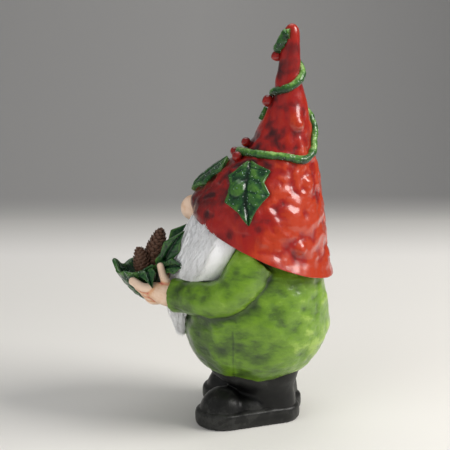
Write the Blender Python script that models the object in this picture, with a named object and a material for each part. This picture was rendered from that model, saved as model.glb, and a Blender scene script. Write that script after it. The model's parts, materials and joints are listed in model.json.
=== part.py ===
"""Santa gnome figurine: one painted resin casting, and a fur beard glued under its hat.

Metres, +Z up. The figure faces -Y, its left hand is on +X, and the origin lies on the
standing surface between its boots.
"""

from math import cos, exp, pi, radians, sin

import bmesh
import bpy
from mathutils import Vector, noise

LARGEST_SPECK = 0.004
X_AXIS = Vector((1, 0, 0))
Z_AXIS = Vector((0, 0, 1))

# Boots
BOOT_SPLAY = radians(23)
HEEL_APART = 0.0180
HEEL_BACK = 0.0175
HEEL_RADIUS = 0.0135
TOE_REACH = 0.0348
TOE_RADIUS = 0.0165
TOE_CAP_HEIGHT = 0.0128
SOLE_THICKNESS = 0.0100
SOLE_LEDGE = 0.0016
# The sole's profile: how far each level is drawn in, and its height
SOLE_LEVELS = (
    (0.0022, -0.0010),
    (0.0022, 0.0000),
    (0.0006, 0.0012),
    (0.0000, 0.0032),
    (0.0000, SOLE_THICKNESS - 0.0014),
    (0.0010, SOLE_THICKNESS),
    (0.0035, SOLE_THICKNESS + 0.0012),
)
CAP_OVERLAP = 0.0010
INSTEP_REACH = 0.0190
INSTEP_LENGTH = 0.0175
INSTEP_WIDTH = 0.0122
INSTEP_HEIGHT = 0.0088
WEB_HALF_WIDTH = 0.0120
WEB_FRONT = 0.0080
WEB_BACK = 0.0285
# Shaft of a boot: each row is the ring's distance back, height above the sole, half depth,
# half width and distance from the middle
SHAFT_RINGS = (
    (0.0105, -0.0010, 0.0187, 0.0124, 0.0112),
    (0.0102, 0.0040, 0.0184, 0.0124, 0.0112),
    (0.0088, 0.0110, 0.0188, 0.0128, 0.0124),
    (0.0052, 0.0175, 0.0240, 0.0142, 0.0146),
    (0.0038, 0.0230, 0.0270, 0.0150, 0.0145),
    (0.0036, 0.0280, 0.0270, 0.0150, 0.0145),
)
# Web between the boots: height, growth of its half width and growth of its half depth
WEB_RINGS = (
    (-0.0010, 0, 0),
    (0.0080, 0, 0),
    (0.0210, 0, -0.0005),
    (0.0380, 0.0050, 0.0060),
)

# Robe: each row is the ring's distance back, height, half depth and half width
HEM_HEIGHT = 0.0302
ROBE_RINGS = (
    (0.0040, HEM_HEIGHT, 0.0275, 0.0305),
    (0.0034, 0.0350, 0.0335, 0.0362),
    (0.0033, 0.0425, 0.0394, 0.0418),
    (0.0037, 0.0520, 0.0435, 0.0445),
    (0.0040, 0.0615, 0.0440, 0.0450),
    (0.0045, 0.0735, 0.0422, 0.0435),
    (0.0060, 0.0865, 0.0385, 0.0400),
    (0.0070, 0.0985, 0.0330, 0.0360),
    (0.0080, 0.1100, 0.0260, 0.0300),
    (0.0090, 0.1200, 0.0150, 0.0180),
)
ROBE_LUMP = 0.0011
ROBE_LUMP_SIZE = 0.013
ROBE_CROWN = 0.003

# Hat: each row is the ring's distance back, height, radius and tilt in degrees
HAT_RINGS = (
    (0.0075, 0.1085, 0.0468, 24.6),
    (0.0053, 0.1175, 0.0436, 20.8),
    (0.0068, 0.1280, 0.0409, 18.5),
    (0.0093, 0.1390, 0.0359, 14.5),
    (0.0135, 0.1495, 0.0292, 12.8),
    (0.0175, 0.1590, 0.0229, 10.0),
    (0.0198, 0.1685, 0.0184, 7.8),
    (0.0215, 0.1800, 0.0146, 7.8),
    (0.0230, 0.1940, 0.0100, 5.7),
    (0.0227, 0.2075, 0.0072, 4.0),
    (0.0230, 0.2220, 0.0060, 0.0),
    (0.0240, 0.2335, 0.0046, 0.0),
)
HAT_TIP_RISE = 0.0055
HAT_LUMP = 0.0013
HAT_LUMP_SIZE = 0.011
HAT_BROAD = 0.02
BRIM_RECESS = 0.0026
NOSE_NOTCH = 0.0070
# Buttons of felt that stand on the hat: share of its length, degrees round from the
# front, radius and height
HAT_BUTTONS = (
    (0.655, 118, 0.0042, 0.0020),
    (0.132, 131, 0.0045, 0.0026),
    (0.385, 140, 0.0048, 0.0018),
    (0.10, 178, 0.0045, 0.0026),
    (0.30, 62, 0.0050, 0.0016),
    (0.20, 215, 0.0050, 0.0020),
    (0.36, 250, 0.0045, 0.0020),
    (0.14, 290, 0.0050, 0.0020),
    (0.52, 300, 0.0040, 0.0020),
)

# Face and beard
NOSE_RADIUS = 0.0078
NOSE_FORWARD = 0.0338
NOSE_HEIGHT = 0.1277
# The nose's root runs back into the head, between these shares of the robe's length
NOSE_ROOT_RADIUS = 0.0040
NOSE_ROOT_SHARE = 0.90
BEARD_GAP = 0.0003
# Each row is the ring's height, its reach forward, its half width and its root's
# distance back
BEARD_RINGS = (
    (0.1300, 0.0300, 0.0260, 0.0100),
    (0.1240, 0.0332, 0.0330, 0.0100),
    (0.1180, 0.0352, 0.0388, 0.0080),
    (0.1110, 0.0382, 0.0428, 0.0050),
    (0.1030, 0.0412, 0.0425, 0.0010),
    (0.0930, 0.0442, 0.0380, -0.0060),
    (0.0810, 0.0468, 0.0290, -0.0140),
    (0.0690, 0.0476, 0.0205, -0.0220),
    (0.0590, 0.0456, 0.0125, -0.0280),
    (0.0510, 0.0432, 0.0055, -0.0320),
)
BEARD_TIP_HEIGHT = 0.0475
BEARD_TIP_BACK = 0.002
BEARD_CROWN = 0.002
BEARD_BROAD = 0.02
BEARD_FULLNESS = 0.90
BEARD_LOCKS = 13
BEARD_LOCK_DEPTH = 0.0011
FAR_FROM_BEARD = (
    "vine",
    "berry",
    "near_leaf",
    "small_leaf",
    "left_sole",
    "right_sole",
    "boot_web",
)

# Arms: shoulder, elbow and cuff of the left arm
SHOULDER = Vector((0.0335, 0.0045, 0.1045))
ELBOW = Vector((0.0420, -0.0108, 0.0844))
CUFF = Vector((0.0265, -0.0430, 0.0801))
SHOULDER_RADIUS = 0.0130
ELBOW_RADIUS = 0.0112
CUFF_RADIUS = 0.0099

# Hands
WRIST_RADIUS = 0.0062
PALM_RADIUS = 0.0070
FINGER_RADIUS = 0.0028
THUMB_RADIUS = 0.0024
# Knots of the palm and the thumb, and the first finger's root, from the middle of the cuff
PALM_KNOTS = (
    Vector((0, 0.0040, 0)),
    Vector((-0.0010, -0.0045, 0.0004)),
    Vector((-0.0032, -0.0120, 0.0020)),
)
THUMB_KNOTS = (
    Vector((-0.0020, -0.0035, 0.0050)),
    Vector((-0.0026, -0.0068, 0.0110)),
    Vector((-0.0044, -0.0086, 0.0172)),
)
FINGER_ROOT = Vector((-0.0022, -0.0070, 0.0044))
FINGER_STEP = Vector((-0.0024, 0, -0.0030))
KNUCKLE_RISE = Vector((0.0040, -0.0012, -0.0012))

# Leaf dish
DISH_FORWARD = 0.0570
DISH_BOTTOM = 0.0680
DISH_HEIGHT = 0.0270
DISH_SLOPE = 0.36
DISH_TIP = 0.0065
DISH_HALF_WIDTH = 0.0215
DISH_REACH = 0.0245
DISH_BACK = 0.0085
DISH_WALL = 0.0026
DISH_POINTS = 8
DISH_POINT_RISE = 0.0018
LEAF_THICKNESS = 0.0022
LEAF_GROOVE = 0.0007
LEAF_SINK = 0.0030
SMALL_LEAF = 0.0050
LARGE_LEAF = 0.0080
# Leaves of the dish: base, bend, tip, direction across, half width and cup
DISH_LEAVES = {
    "near": (
        Vector((0.0190, -0.0600, 0.0900)),
        Vector((0.0270, -0.0600, 0.0990)),
        Vector((0.0285, -0.0555, 0.0850)),
        Vector((0, -1, -0.3)),
        0.0048,
        0.2,
    ),
    "far": (
        Vector((-0.0190, -0.0600, 0.0900)),
        Vector((-0.0270, -0.0600, 0.0990)),
        Vector((-0.0285, -0.0555, 0.0850)),
        Vector((0, 1, 0.3)),
        0.0048,
        0.2,
    ),
    "tall": (
        Vector((0.0150, -0.0523, 0.0910)),
        Vector((0.0235, -0.0485, 0.1060)),
        Vector((0.0215, -0.0372, 0.1185)),
        Vector((0, 0.85, -0.5)),
        0.0056,
        0.15,
    ),
    "low": (
        Vector((0.0150, -0.0525, 0.0915)),
        Vector((0.0265, -0.0460, 0.1000)),
        Vector((0.0285, -0.0365, 0.0985)),
        Vector((0, 0.2, -1)),
        0.0048,
        0.15,
    ),
    "tall_far": (
        Vector((-0.0150, -0.0523, 0.0910)),
        Vector((-0.0225, -0.0480, 0.1030)),
        Vector((-0.0225, -0.0395, 0.1120)),
        Vector((0, -0.85, 0.5)),
        0.0060,
        0.15,
    ),
}
# Leaves on the hat: degrees round, height, length, heading in degrees and half width
HAT_LEAVES = {
    "near_leaf": (51, 0.1595, 0.0430, -34, 0.0118),
    "front_leaf": (8, 0.1580, 0.0310, 6, 0.0105),
    "small_leaf": (-8, 0.1880, 0.0110, 20, 0.0035),
}
# Half width of a holly leaf along its midrib, as shares of its length and width
HOLLY_OUTLINE = (
    (0.00, 0.12),
    (0.09, 0.42),
    (0.22, 0.95),
    (0.41, 0.70),
    (0.63, 1.00),
    (0.80, 0.48),
    (1.00, 0.03),
)

# Vine round the hat: degrees round from the front and height
VINE_RADIUS = 0.0024
VINE_PATH = (
    (80, 0.2400),
    (52, 0.2345),
    (16, 0.2255),
    (-90, 0.2180),
    (-180, 0.2105),
    (-270, 0.2025),
    (-360, 0.1980),
    (-450, 0.1920),
    (-515, 0.1830),
    (-545, 0.1700),
    (-585, 0.1615),
    (-630, 0.1640),
    (-680, 0.1640),
    (-722, 0.1620),
)
# Berries: degrees round from the front, height and radius
BERRIES = (
    (0, 0.2195, 0.0031),
    (-2, 0.1920, 0.0036),
    (4, 0.1675, 0.0029),
    (24, 0.1600, 0.0031),
    (-20, 0.1590, 0.0030),
)

# Pine cones: base, tip and radius
BIG_CONE = (Vector((0.0020, -0.0640, 0.0760)), Vector((0.0010, -0.0535, 0.1140)), 0.0066)
SMALL_CONE = (Vector((0.0060, -0.0610, 0.0800)), Vector((0.0075, -0.0665, 0.1040)), 0.0056)
CONE_SCALES_ROUND = 8
CONE_SCALE_RELIEF = 0.0009


def clear_scene():
    """Empties the scene."""
    for obj in list(bpy.data.objects):
        bpy.data.objects.remove(obj, do_unlink=True)


def paint(name, colour, roughness):
    """A paint or fibre finish."""
    made = bpy.data.materials.new(name)
    made.use_nodes = True
    shader = made.node_tree.nodes["Principled BSDF"]
    shader.inputs["Base Color"].default_value = (*colour, 1)
    shader.inputs["Roughness"].default_value = roughness
    shader.inputs["Metallic"].default_value = 0
    made.diffuse_color = (*colour, 1)
    return made


def along(rows, share):
    """The row at this share of a table's length, on a smooth curve through its rows."""
    spans = len(rows) - 1
    place = min(max(share, 0.0), 1.0) * spans
    i = min(int(place), spans - 1)
    f = place - i
    a, b, c, d = (rows[min(max(k, 0), spans)] for k in range(i - 1, i + 3))
    return [
        0.5 * (2 * q + (r - p) * f + (2 * p - 5 * q + 4 * r - s) * f**2 + (3 * (q - r) + s - p) * f**3)
        for p, q, r, s in zip(a, b, c, d)
    ]


def between(rows, x):
    """The straight-line value at x in a table of (x, value) rows."""
    for (x0, y0), (x1, y1) in zip(rows, rows[1:]):
        if x <= x1:
            return y0 + (y1 - y0) * (x - x0) / (x1 - x0)
    return rows[-1][1]


def lump(point, size):
    """Soft unevenness of a hand-modelled surface, from -1 to 1, in lumps of this size."""
    return noise.noise(point / size) + 0.45 * noise.noise(point / (0.45 * size))


def solid(name, points, faces, finish, helper):
    """An object from points and faces. A helper is merged into, or cut from, another object."""
    mesh = bpy.data.meshes.new(name)
    mesh.from_pydata([tuple(p) for p in points], [], faces)
    shape = bmesh.new()
    shape.from_mesh(mesh)
    bmesh.ops.recalc_face_normals(shape, faces=shape.faces)
    bmesh.ops.triangulate(shape, faces=shape.faces)
    shape.to_mesh(mesh)
    shape.free()
    mesh.materials.append(finish)
    mesh.shade_smooth()
    obj = bpy.data.objects.new(name, mesh)
    if helper is None:
        bpy.context.scene.collection.objects.link(obj)
    else:
        helper.objects.link(obj)
        obj.hide_render = True
        obj.display_type = "WIRE"
    return obj


def loft(name, rings, finish, helper=None, start=None, end=None):
    """A closed skin over rings of equal count. It ends in a point, or in a flat face."""
    count = len(rings[0])
    points = [p for ring in rings for p in ring]
    faces = []
    for row in range(len(rings) - 1):
        for i in range(count):
            j = (i + 1) % count
            low, high = row * count, (row + 1) * count
            faces.append((low + i, low + j, high + j, high + i))
    for tip, first in ((start, 0), (end, (len(rings) - 1) * count)):
        if tip is None:
            faces.append(tuple(range(first, first + count)))
        else:
            points.append(tip)
            faces += [(first + i, first + (i + 1) % count, len(points) - 1) for i in range(count)]
    return solid(name, points, faces, finish, helper)


def smooth_path(knots, count):
    """Points on a smooth curve through the knots."""
    return [Vector(along([tuple(k) for k in knots], i / (count - 1))) for i in range(count)]


def tube(name, path, radii, sides, finish, helper=None, end_share=0.45):
    """A round bar along a path, with its ends drawn in."""
    rings = []
    side = None
    for i, point in enumerate(path):
        ahead = (path[min(i + 1, len(path) - 1)] - path[max(i - 1, 0)]).normalized()
        if side is None:
            side = ahead.orthogonal().normalized()
        side = (side - ahead * side.dot(ahead)).normalized()
        up = ahead.cross(side)
        rings.append(
            [
                point + radii[i] * (cos(2 * pi * k / sides) * side + sin(2 * pi * k / sides) * up)
                for k in range(sides)
            ]
        )
    first = path[0] - (path[1] - path[0]).normalized() * radii[0] * end_share
    last = path[-1] + (path[-1] - path[-2]).normalized() * radii[-1] * end_share
    return loft(name, rings, finish, helper, first, last)


def ball(name, centre, radius, rows, finish, helper=None):
    """A round bead."""
    sides = 2 * rows
    rings = [
        [
            centre
            + radius
            * Vector(
                (
                    sin(pi * r / rows) * cos(2 * pi * k / sides),
                    sin(pi * r / rows) * sin(2 * pi * k / sides),
                    -cos(pi * r / rows),
                )
            )
            for k in range(sides)
        ]
        for r in range(1, rows)
    ]
    return loft(name, rings, finish, helper, centre - radius * Z_AXIS, centre + radius * Z_AXIS)


def mirrored(point):
    """The same point on the figure's other side."""
    return Vector((-point.x, point.y, point.z))


def hat_ring(share):
    """Centre, radius, direction back along the ring, and upward normal at this share of the hat."""
    back, height, radius, tilt = along(HAT_RINGS, share)
    tilt = radians(tilt)
    return (
        Vector((0, back, height)),
        radius,
        Vector((0, cos(tilt), -sin(tilt))),
        Vector((0, sin(tilt), cos(tilt))),
    )


def hat_relief(point, radius):
    """How far the felt stands out: soft lumps, and round buttons."""
    height = HAT_LUMP * lump(point, HAT_LUMP_SIZE) * min(1.0, radius / HAT_BROAD)
    for place, degrees, size, rise in HAT_BUTTONS:
        centre, ring, back, _ = hat_ring(place)
        turn = radians(degrees)
        button = centre + ring * (sin(turn) * X_AXIS - cos(turn) * back)
        height += rise * exp(-(((point - button).length / (0.85 * size)) ** 4))
    return height


def hat_point(share, angle):
    """A point on the hat, angle round from its front."""
    centre, radius, back, up = hat_ring(share)
    outward = sin(angle) * X_AXIS - cos(angle) * back
    plain = centre + radius * outward
    turn = (angle + pi) % (2 * pi) - pi
    notch = NOSE_NOTCH * exp(-((turn / radians(10)) ** 2)) * max(0.0, 1 - share / 0.16)
    relief = hat_relief(plain, radius) * (0.35 + 0.65 * min(1.0, share / 0.06))
    return plain + relief * outward + notch * up


def hat_share_at(height, angle):
    """The share of the hat's length at which its surface reaches this height."""
    low, high = 0.0, 1.0
    for _ in range(24):
        middle = (low + high) / 2
        if hat_point(middle, angle).z < height:
            low = middle
        else:
            high = middle
    return (low + high) / 2


def hat_normal(share, angle):
    """The outward direction of the hat's surface."""
    step = 0.02
    up = hat_point(min(share + step, 1), angle) - hat_point(max(share - step, 0), angle)
    round_ = hat_point(share, angle + step) - hat_point(share, angle - step)
    return round_.cross(up).normalized()


def make_hat(finish, helper, sides=32, rows=22):
    """The tall felt hat with its tilted brim, hollowed a little underneath."""
    centre, radius, back, up = hat_ring(0)
    turns = [2 * pi * k / sides for k in range(sides)]
    middle = centre + BRIM_RECESS * up
    rim = [hat_point(0, a) for a in turns]
    inner = [middle + 0.93 * (p - centre) for p in rim]
    rings = [inner, rim] + [[hat_point(i / rows, a) for a in turns] for i in range(1, rows + 1)]
    top = hat_ring(1)[0] + HAT_TIP_RISE * Z_AXIS
    return loft("hat", rings, finish, helper, middle, top)


def robe_point(share, angle):
    """A point on the robe, angle round from its front."""
    back, height, depth, width = along(ROBE_RINGS, share)
    plain = Vector((width * sin(angle), back - depth * cos(angle), height))
    out = Vector((sin(angle), -cos(angle), 0))
    return plain + ROBE_LUMP * lump(plain, ROBE_LUMP_SIZE) * out


def make_robe(name, finish, helper, sides=28, rows=14):
    """The round belly of the robe, from its hem to inside the hat."""
    turns = [2 * pi * k / sides for k in range(sides)]
    rings = [[robe_point(i / rows, a) for a in turns] for i in range(rows + 1)]
    bottom = Vector((0, ROBE_RINGS[0][0], HEM_HEIGHT))
    top = Vector((0, ROBE_RINGS[-1][0], ROBE_RINGS[-1][1] + ROBE_CROWN))
    return loft(name, rings, finish, helper, bottom, top)


def make_sleeve(name, flip, finish, helper):
    """A bent sleeve from inside the shoulder to its cuff."""
    count = 9
    path = smooth_path((SHOULDER, ELBOW, CUFF), count)
    sizes = ((SHOULDER_RADIUS,), (ELBOW_RADIUS,), (CUFF_RADIUS,))
    radii = [along(sizes, i / (count - 1))[0] for i in range(count)]
    if flip:
        path = [mirrored(p) for p in path]
    return tube(name, path, radii, 16, finish, helper, 0.05)


def make_hand(side, flip, finish, helper):
    """A hand that holds the dish: palm, four fingers along its side and a raised thumb."""
    palm = [CUFF + knot for knot in PALM_KNOTS]
    bars = {"palm": (palm, (WRIST_RADIUS, PALM_RADIUS, 0.75 * PALM_RADIUS), 5, 12)}
    for k in range(4):
        root = CUFF + FINGER_ROOT + k * FINGER_STEP
        rim = dish_point(radians(57 + 5 * k), 0.88 - 0.105 * k)
        tip = rim + 0.8 * FINGER_RADIUS * X_AXIS
        knuckle = (root + tip) / 2 + KNUCKLE_RISE
        bars[f"finger{k}"] = ((root, knuckle, tip), 3 * (FINGER_RADIUS,), 5, 6)
    thumb = [CUFF + knot for knot in THUMB_KNOTS]
    bars["thumb"] = (thumb, (1.35 * THUMB_RADIUS, THUMB_RADIUS, 0.9 * THUMB_RADIUS), 5, 8)
    for bar, (knots, radii, count, sides) in bars.items():
        path = smooth_path(knots, count)
        if flip:
            path = [mirrored(p) for p in path]
        sized = [along([(r,) for r in radii], i / (count - 1))[0] for i in range(count)]
        tube(f"{side}_{bar}", path, sized, sides, finish, helper)


def boot_frame(flip):
    """Heel centre, and the directions along and across the boot."""
    turn = -BOOT_SPLAY if flip else BOOT_SPLAY
    heel = Vector((-HEEL_APART / 2 if flip else HEEL_APART / 2, HEEL_BACK, 0))
    return heel, Vector((sin(turn), -cos(turn), 0)), Vector((cos(turn), sin(turn), 0))


def sole_outline(flip, inset, height, per_end=9):
    """The foot's outline: a round heel and a wider round toe, drawn in by inset."""
    heel, ahead, across = boot_frame(flip)
    toe = heel + TOE_REACH * ahead
    lean = (TOE_RADIUS - HEEL_RADIUS) / TOE_REACH
    ring = []
    for centre, radius, sign in ((toe, TOE_RADIUS - inset, 1), (heel, HEEL_RADIUS - inset, -1)):
        spread = pi / 2 + sign * lean
        for k in range(per_end):
            turn = -spread + 2 * spread * k / (per_end - 1)
            out = sign * (cos(turn) * ahead + sin(turn) * across)
            ring.append(centre + radius * out + height * Z_AXIS)
    return ring


def make_boot(side, flip, finish, helper):
    """A boot: sole with a ledge, round toe cap, and a shaft that flares up under the hem."""
    rings = [sole_outline(flip, inset, height) for inset, height in SOLE_LEVELS]
    loft(f"{side}_sole", rings, finish, helper)

    heel, ahead, across = boot_frame(flip)
    toe = heel + TOE_REACH * ahead
    rows, sides = 6, 18
    low = SOLE_THICKNESS - CAP_OVERLAP
    reach = TOE_RADIUS - SOLE_LEDGE
    cap_rings = []
    for i in range(rows):
        lift = low + (TOE_CAP_HEIGHT + CAP_OVERLAP) * sin(pi / 2 * i / rows)
        spread = reach * cos(pi / 2 * i / rows)
        ring = []
        for k in range(sides):
            turn = 2 * pi * k / sides
            out = cos(turn) * across + sin(turn) * ahead
            ring.append(toe + spread * out + lift * Z_AXIS)
        cap_rings.append(ring)
    crown = toe + (SOLE_THICKNESS + TOE_CAP_HEIGHT) * Z_AXIS
    loft(f"{side}_toe_cap", cap_rings, finish, helper, toe + low * Z_AXIS, crown)

    centre = heel + INSTEP_REACH * ahead + low * Z_AXIS
    rise = INSTEP_HEIGHT * Z_AXIS
    rows, sides = 7, 14
    rings = []
    for i in range(1, rows):
        lift, spread = -cos(pi * i / rows), sin(pi * i / rows)
        ring = []
        for k in range(sides):
            turn = 2 * pi * k / sides
            out = INSTEP_WIDTH * cos(turn) * across + INSTEP_LENGTH * sin(turn) * ahead
            ring.append(centre + spread * out + lift * rise)
        rings.append(ring)
    loft(f"{side}_instep", rings, finish, helper, centre - rise, centre + rise)

    sign = -1 if flip else 1
    sides = 18
    rings = []
    for i in range(8):
        back, height, depth, width, apart = along(SHAFT_RINGS, i / 7)
        ring = []
        for k in range(sides):
            turn = 2 * pi * k / sides
            x = sign * apart + width * cos(turn)
            ring.append(Vector((x, back + depth * sin(turn), SOLE_THICKNESS + height)))
        rings.append(ring)
    loft(f"{side}_shaft", rings, finish, helper)


def make_web(finish, helper):
    """The web that joins the boots behind, where a mould can't part them."""
    middle, half = (WEB_BACK - WEB_FRONT) / 2, (WEB_BACK + WEB_FRONT) / 2
    sides = 16
    rings = []
    for height, wider, deeper in WEB_RINGS:
        ring = []
        for k in range(sides):
            turn = 2 * pi * k / sides
            x = (WEB_HALF_WIDTH + wider) * cos(turn)
            ring.append(Vector((x, middle + (half + deeper) * sin(turn), height)))
        rings.append(ring)
    loft("boot_web", rings, finish, helper)


def leaf_width(share, half_width):
    """Half the width of a holly leaf at this share of its length."""
    return half_width * between(HOLLY_OUTLINE, share)


def leaf_solid(name, place, half_width, depth, finish, helper):
    """A thick holly leaf. place gives the point and the face direction at (share, sideways)."""
    across = 4 if half_width > SMALL_LEAF else 2
    shares = [x for x, _ in HOLLY_OUTLINE]
    if half_width > LARGE_LEAF:
        shares = sorted(shares + [(a + b) / 2 for a, b in zip(shares, shares[1:])])
    top, bottom = [], []
    for share in shares:
        width = leaf_width(share, half_width)
        for k in range(across + 1):
            side = 2 * k / across - 1
            point, face = place(share, side * width)
            groove = LEAF_GROOVE * (1 - abs(side)) ** 4
            edge = 0.25 * LEAF_THICKNESS * abs(side) ** 3
            top.append(point + (LEAF_THICKNESS / 2 - groove - edge) * face)
            bottom.append(point - depth * face)
    count, line = len(top), across + 1
    faces = []
    for i in range(len(shares) - 1):
        for k in range(across):
            a = i * line + k
            faces.append((a, a + 1, a + line + 1, a + line))
            faces.append((count + a, count + a + line, count + a + line + 1, count + a + 1))
    edge_loop = list(range(across + 1))
    edge_loop += [i * line + across for i in range(1, len(shares))]
    edge_loop += [(len(shares) - 1) * line + k for k in range(across - 1, -1, -1)]
    edge_loop += [i * line for i in range(len(shares) - 2, 0, -1)]
    for a, b in zip(edge_loop, edge_loop[1:] + edge_loop[:1]):
        faces.append((a, count + a, count + b, b))
    return solid(name, top + bottom, faces, finish, helper)


def free_leaf(name, base, bend, tip, side, half_width, cup, finish, helper):
    """A leaf that curves from base to tip and cups towards its face."""
    side = side.normalized()

    def place(share, sideways):
        middle = (1 - share) ** 2 * base + 2 * share * (1 - share) * bend + share**2 * tip
        ahead = (2 * (1 - share) * (bend - base) + 2 * share * (tip - bend)).normalized()
        face = side.cross(ahead).normalized()
        rise = cup * (sideways / half_width) ** 2 * half_width
        return middle + sideways * side + rise * face, face

    return leaf_solid(name, place, half_width, LEAF_THICKNESS / 2, finish, helper)


def hat_leaf(name, degrees, height, length, heading, half_width, finish, helper):
    """A leaf laid on the hat, hanging from its stem and turned by heading."""
    start_turn, heading = radians(degrees), radians(heading)
    start = hat_share_at(height, start_turn)

    def place(share, sideways):
        down = share * length * cos(heading) + sideways * sin(heading)
        round_ = -share * length * sin(heading) + sideways * cos(heading)
        here = start
        for _ in range(4):
            here -= down / 4 / slope_length(here, start_turn)
        turn = start_turn + round_ / along(HAT_RINGS, here)[2]
        point, face = hat_point(max(here, 0.01), turn), hat_normal(max(here, 0.02), turn)
        return point + 0.35 * LEAF_THICKNESS * face, face

    return leaf_solid(name, place, half_width, LEAF_SINK, finish, helper)


def slope_length(share, angle):
    """Metres along the hat's slope for a whole share, at this place."""
    step = 0.01
    share = max(share, step)
    return (hat_point(share + step, angle) - hat_point(share - step, angle)).length / (2 * step)


def make_hat_trim(leaf_paint, vine_paint, berry_paint, helper):
    """Holly leaves, the vine that winds round the hat, and berries."""
    for name, leaf in HAT_LEAVES.items():
        hat_leaf(name, *leaf, leaf_paint, helper)
    count = 60
    path, radii = [], []
    for i in range(count):
        degrees, height = along(VINE_PATH, i / (count - 1))
        turn = radians(degrees)
        share = hat_share_at(min(height, hat_ring(1)[0].z), turn)
        path.append(hat_point(share, turn) + 0.40 * VINE_RADIUS * hat_normal(share, turn))
        radii.append(VINE_RADIUS * (1.25 if i < 11 else 1.0) * (1 + 0.10 * sin(1.9 * i)))
    tube("vine", path, radii, 5, vine_paint, helper)
    for k, (degrees, height, radius) in enumerate(BERRIES):
        turn = radians(degrees)
        share = hat_share_at(height, turn)
        centre = hat_point(share, turn) + 0.60 * radius * hat_normal(share, turn)
        ball(f"berry{k}", centre, radius, 5, berry_paint, helper)


def dish_point(turn, share, wall=0.0):
    """A point on the dish, turn round from its front, share of the way from its middle to its rim."""
    length = DISH_REACH if cos(turn) > 0 else DISH_BACK
    reach = length * cos(turn)
    point = abs(cos(DISH_POINTS / 2 * turn)) ** 3 * share**4
    tip = exp(-((sin(turn / 2) / 0.2) ** 2)) * share**2
    rim = DISH_HEIGHT - DISH_SLOPE * reach + DISH_POINT_RISE * point + DISH_TIP * tip
    swell = share * (1 + 0.04 * point + 0.05 * tip)
    return Vector(
        (
            (DISH_HALF_WIDTH * swell - wall * share) * sin(turn),
            -DISH_FORWARD - (length * swell - wall * share) * cos(turn),
            DISH_BOTTOM + rim * share**1.7 + wall * (1 - share),
        )
    )


def make_dish(leaf_paint, helper):
    """The cupped dish with a prickly rim, and the leaves that stand on it and hang over it."""
    sides, rows = 24, 5
    turns = [2 * pi * k / sides for k in range(sides)]
    outer = [[dish_point(a, i / rows) for a in turns] for i in range(1, rows + 1)]
    inner = [[dish_point(a, i / rows, DISH_WALL) for a in turns] for i in range(rows, 0, -1)]
    bottom = dish_point(0, 0)
    loft("dish", outer + inner, leaf_paint, helper, bottom, bottom + DISH_WALL * Z_AXIS)
    for name, leaf in DISH_LEAVES.items():
        free_leaf(f"{name}_leaf", *leaf, leaf_paint, helper)


def pine_cone(name, base, tip, radius, finish, helper):
    """A closed cone whose scales stand out in staggered rows."""
    axis = tip - base
    length = axis.length
    ahead = axis.normalized()
    side = ahead.orthogonal().normalized()
    up = ahead.cross(side)
    sides = 2 * CONE_SCALES_ROUND
    rows = max(6, round(length / (0.55 * 2 * pi * radius / CONE_SCALES_ROUND)))
    rings = []
    for i in range(rows):
        share = (i + 0.5) / rows
        swell = radius * sin(pi * share**1.05) ** 0.5
        ring = []
        for k in range(sides):
            raised = (k + i) % 2 == 0
            reach = swell + (CONE_SCALE_RELIEF if raised else -CONE_SCALE_RELIEF)
            lean = 0.35 * length / rows * (1 if raised else 0)
            turn = 2 * pi * k / sides
            ring.append(
                base + (share * length + lean) * ahead + reach * (cos(turn) * side + sin(turn) * up)
            )
        rings.append(ring)
    loft(name, rings, finish, helper, base, tip)


def fuller(value):
    """A sine or cosine pushed outwards, so that an oval turns a little square."""
    return abs(value) ** BEARD_FULLNESS * (1 if value > 0 else -1)


def beard_point(share, angle):
    """A point on the beard, combed into locks that run down to its tip."""
    height, front, width, root = along(BEARD_RINGS, share)
    depth = (root + front) / 2
    centre = root - depth
    lock = BEARD_LOCK_DEPTH * sin(BEARD_LOCKS * angle + 4.0 * share) * min(1.0, width / BEARD_BROAD)
    lock *= max(0.0, cos(angle))
    return Vector(
        (
            (width + lock) * fuller(sin(angle)),
            centre - (depth + lock) * fuller(cos(angle)),
            height,
        )
    )


def make_nose(finish, helper):
    """The round nose, and the root that holds it to the head."""
    centre = Vector((0, -NOSE_FORWARD, NOSE_HEIGHT))
    ball("nose", centre, NOSE_RADIUS, 8, finish, helper)
    back, height, _, _ = along(ROBE_RINGS, NOSE_ROOT_SHARE)
    path = smooth_path((centre, Vector((0, back, height))), 4)
    tube("nose_root", path, 4 * (NOSE_ROOT_RADIUS,), 8, finish, helper)


def make_beard(finish):
    """The fur beard: a bib that hangs over the chest and narrows to a tip."""
    sides, rows = 36, 14
    turns = [2 * pi * k / sides for k in range(sides)]
    rings = [[beard_point(i / rows, a) for a in turns] for i in range(rows, -1, -1)]
    tip_row = BEARD_RINGS[-1]
    tip = Vector((0, BEARD_TIP_BACK - tip_row[1], BEARD_TIP_HEIGHT))
    top_row = BEARD_RINGS[0]
    top = Vector((0, (top_row[3] - top_row[1]) / 2, top_row[0] + BEARD_CROWN))
    return loft("beard", rings, finish, None, tip, top)


def collection(name):
    """A named group of helper shapes."""
    made = bpy.data.collections.new(name)
    bpy.context.scene.collection.children.link(made)
    return made


def combine(obj, operation, group):
    """A Boolean of the object with every shape in a group, which keeps their paints."""
    modifier = obj.modifiers.new(operation.lower(), "BOOLEAN")
    modifier.operation = operation
    modifier.solver = "EXACT"
    modifier.operand_type = "COLLECTION"
    modifier.collection = group
    modifier.material_mode = "TRANSFER"
    return modifier


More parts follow.
